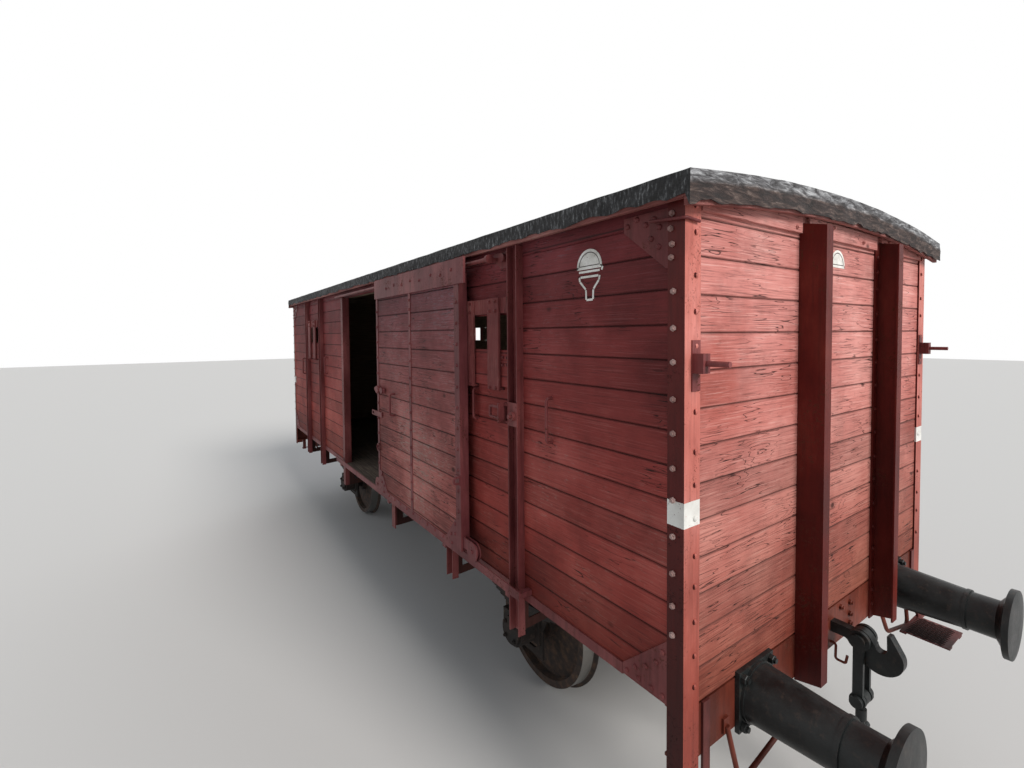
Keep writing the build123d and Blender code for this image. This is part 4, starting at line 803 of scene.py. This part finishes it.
def bend_corner_rods():
    """A round tie rod, 14 mm thick, bent round each front right and rear left corner post below the roof."""
    deselect()
    start, side, end = 3836 * MM, -HALF_WIDTH - 16 * MM, HALF_LENGTH + 10 * MM
    height, bend = DECK + 2096 * MM, 22 * MM
    bpy.ops.mesh.primitive_circle_add(vertices=12, radius=7 * MM, fill_type="NGON",
                                      rotation=(0, math.pi / 2, 0), location=(start, side, height))
    bpy.ops.object.transform_apply(location=True, rotation=True, scale=True)
    bpy.ops.object.mode_set(mode="EDIT")
    bpy.ops.mesh.select_all(action="SELECT")
    bpy.ops.mesh.extrude_region_move(TRANSFORM_OT_translate={"value": (end - bend - start, 0, -14 * MM)})
    bpy.ops.mesh.spin(steps=8, angle=-math.pi / 2, center=(end - bend, side + bend, height), axis=(0, 0, 1))
    bpy.ops.mesh.extrude_region_move(TRANSFORM_OT_translate={"value": (0, 78 * MM, -6 * MM)})
    bpy.ops.mesh.select_all(action="SELECT")
    bpy.ops.mesh.remove_doubles(threshold=0.2 * MM)
    bpy.ops.mesh.normals_make_consistent(inside=False)
    bpy.ops.object.mode_set(mode="OBJECT")
    bpy.ops.object.shade_smooth_by_angle(angle=math.radians(50))
    rod = settle("corner_rod_right", steel_paint, "wagon")
    opposite = copy_turned(rod, "corner_rod_left", HALF_TURN)
    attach(opposite, "wagon")


# Blank marks

def cut_arch(name, centre_x, foot, wide, tall):
    """A blank white mark with an arched top and a thin dark line inside its rim, facing -Y."""
    deselect()
    middle = DECK + (foot + tall - wide / 2) * MM
    bpy.ops.mesh.primitive_circle_add(vertices=48, radius=wide / 2 * MM, fill_type="NGON",
                                      rotation=(math.pi / 2, 0, 0),
                                      location=(centre_x * MM, -SIDE_FACE, middle))
    bpy.ops.object.transform_apply(location=True, rotation=True, scale=True)
    bpy.ops.object.mode_set(mode="EDIT")
    pick("EDGE", lambda edge: max(v.co.z for v in edge.verts) < middle + 1 * MM)
    bpy.ops.transform.resize(value=(1.0, 1.0, 0.0),
                             center_override=(centre_x * MM, -SIDE_FACE, DECK + foot * MM))
    bpy.ops.mesh.select_all(action="SELECT")
    bpy.ops.mesh.remove_doubles(threshold=0.2 * MM)
    bpy.ops.mesh.extrude_region_move(TRANSFORM_OT_translate={"value": (0, -2 * MM, 0)})
    bpy.ops.mesh.select_all(action="SELECT")
    bpy.ops.mesh.normals_make_consistent(inside=False)
    pick("FACE", lambda face: face.normal.y < -0.5)
    bpy.ops.mesh.inset(thickness=14 * MM, depth=0.0)
    bpy.ops.mesh.inset(thickness=5 * MM, depth=-0.8 * MM)
    bpy.ops.object.mode_set(mode="OBJECT")
    piece = bpy.context.object
    piece.data.materials.append(white_enamel)
    piece.data.materials.append(dark_enamel)
    for face in piece.data.polygons:
        sunk = abs(face.center.y + SIDE_FACE + 1.6 * MM) < 0.3 * MM and 0.2 < -face.normal.y < 0.99
        face.material_index = 1 if sunk else 0
    return settle(name, white_enamel, "wagon")


def paint_stroke(name, start, end, wide):
    """One brush stroke between two places on the side boards, a little narrower at its ends."""
    deselect()
    (x0, z0), (x1, z1) = start, end
    middle = ((x0 + x1) / 2 * MM, -SIDE_FACE - 0.6 * MM, DECK + (z0 + z1) / 2 * MM)
    bpy.ops.mesh.primitive_cube_add(size=1.0, location=middle,
                                    rotation=(0, -math.atan2(z1 - z0, x1 - x0), 0),
                                    scale=(math.hypot(x1 - x0, z1 - z0) * MM, 1.6 * MM, wide * MM))
    bpy.ops.object.transform_apply(location=False, rotation=False, scale=True)
    bpy.ops.object.mode_set(mode="EDIT")
    pick("FACE", lambda face: abs(face.normal.x) > 0.5)
    bpy.ops.mesh.inset(thickness=0.2 * MM, depth=wide * 0.2 * MM)
    bpy.ops.mesh.select_all(action="SELECT")
    bpy.ops.mesh.bevel(offset=0.3 * MM, segments=1)
    return settle(name, white_enamel, "wagon")


ARCH_X = 3440
TRAPEZOID = ((3372, 1882), (3368, 1903), (3512, 1903), (3508, 1882), (3468, 1838), (3466, 1787), (3418, 1786),
             (3416, 1838), (3372, 1882))
UNDERLINE = (((3354, 1929), (3524, 1929)), ((3526, 1929), (3532, 1944)))


def mark_the_walls():
    """Blank marks on both sides and ends: arch, underline, trapezoid outline and the small end arch."""
    pieces = [cut_arch("side_arch_mark", ARCH_X, 1941, 176, 100)]
    strokes = list(zip(TRAPEZOID[:-1], TRAPEZOID[1:])) + list(UNDERLINE)
    for number, (start, end) in enumerate(strokes):
        a, b = Vector(start), Vector(end)
        pieces.append(paint_stroke(f"mark_stroke_{number}", a.lerp(b, 0.08), b.lerp(a, 0.08), 11))
    to_middle = Matrix.Translation((-ARCH_X * MM, SIDE_FACE, 40 * MM))
    to_end = Matrix.Translation((END_FACE, 0, 0)) @ Matrix.Rotation(math.pi / 2, 4, "Z")
    pieces.append(copy_turned(pieces[0], "end_arch_mark", to_end @ to_middle))
    for piece in pieces:
        for mark in (piece, copy_turned(piece, f"{piece.name}_opposite", HALF_TURN)):
            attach(mark, "wagon")


lay_felt()
fasten()
tread_the_steps()
bend_corner_rods()
mark_the_walls()


# Camera, floor and light

PHOTO_WIDTH = 1024
PHOTO_HEIGHT = 768
FOCAL_PIXELS = 482.1
CENTRE_X = 504.8
CENTRE_Y = 350.7
YAW = math.radians(34.14)
PITCH = math.radians(1.92)
ROLL = math.radians(-0.49)
SENSOR = 36.0
EYE = (5.217, -3.143, 2.783)


def add_camera():
    """The photograph's viewpoint, just beyond the front right corner at platform eye height."""
    forward = Vector((-math.cos(YAW) * math.cos(PITCH), math.sin(YAW) * math.cos(PITCH), -math.sin(PITCH)))
    right = Vector((math.sin(YAW), math.cos(YAW), 0.0))
    up = right.cross(forward)
    tilted_right = right * math.cos(ROLL) + up * math.sin(ROLL)
    tilted_up = up * math.cos(ROLL) - right * math.sin(ROLL)
    data = bpy.data.cameras.new("photo_camera")
    data.sensor_width = SENSOR
    data.lens = FOCAL_PIXELS * SENSOR / PHOTO_WIDTH
    data.shift_x = (PHOTO_WIDTH / 2 - CENTRE_X) / PHOTO_WIDTH
    data.shift_y = (CENTRE_Y - PHOTO_HEIGHT / 2) / PHOTO_WIDTH
    data.clip_start = 0.05
    data.clip_end = 400.0
    camera = bpy.data.objects.new("photo_camera", data)
    turn = Matrix((tilted_right, tilted_up, -forward)).transposed().to_4x4()
    camera.matrix_world = Matrix.Translation(EYE) @ turn
    bpy.context.scene.collection.objects.link(camera)
    bpy.context.scene.camera = camera


def add_sun(name, energy, towards, softness, colour):
    """A soft sun that shines along a direction."""
    data = bpy.data.lights.new(name, "SUN")
    data.energy = energy
    data.angle = math.radians(softness)
    data.color = colour
    lamp = bpy.data.objects.new(name, data)
    lamp.rotation_euler = Vector(towards).to_track_quat("-Z", "Y").to_euler()
    bpy.context.scene.collection.objects.link(lamp)


def add_world():
    """A grey sky that lights the object gently and shows as white to the camera and in reflections."""
    world = bpy.data.worlds.new("overcast")
    bpy.context.scene.world = world
    world.use_nodes = True
    tree = world.node_tree
    tree.nodes.clear()
    path = node(tree, "LightPath").node.outputs
    mirrored = node(tree, "Math", {0: path["Is Glossy Ray"], 1: path["Is Transmission Ray"]},
                    operation="MAXIMUM")
    seen = node(tree, "Math", {0: path["Is Camera Ray"], 1: mirrored}, operation="MAXIMUM")
    sky = node(tree, "Background", {"Color": (0.86, 0.92, 1.0, 1.0), "Strength": 0.42})
    white = node(tree, "Background", {"Color": (1.0, 1.0, 1.0, 1.0), "Strength": 1.0})
    node(tree, "OutputWorld", {"Surface": node(tree, "MixShader", {0: seen, 1: sky, 2: white})})


def add_floor():
    """A plain pale floor that keeps the wagon's shadow."""
    deselect()
    bpy.ops.mesh.primitive_grid_add(x_subdivisions=2, y_subdivisions=2, size=120.0)
    floor = bpy.context.object
    floor.name = "studio_floor"
    made, tree = new_material("pale_floor")
    shader = node(tree, "BsdfPrincipled", {"Base Color": (0.62, 0.61, 0.59, 1.0), "Roughness": 0.9})
    node(tree, "OutputMaterial", {"Surface": shader})
    floor.data.materials.append(made)


add_camera()
add_world()
add_floor()
add_sun("key_sun", 3.0, (-0.84, -0.10, -0.54), 25.0, (1.0, 0.97, 0.94))
add_sun("fill_sun", 0.5, (0.55, -0.55, -0.60), 40.0, (0.95, 0.97, 1.0))
bpy.context.scene.view_settings.view_transform = "Standard"
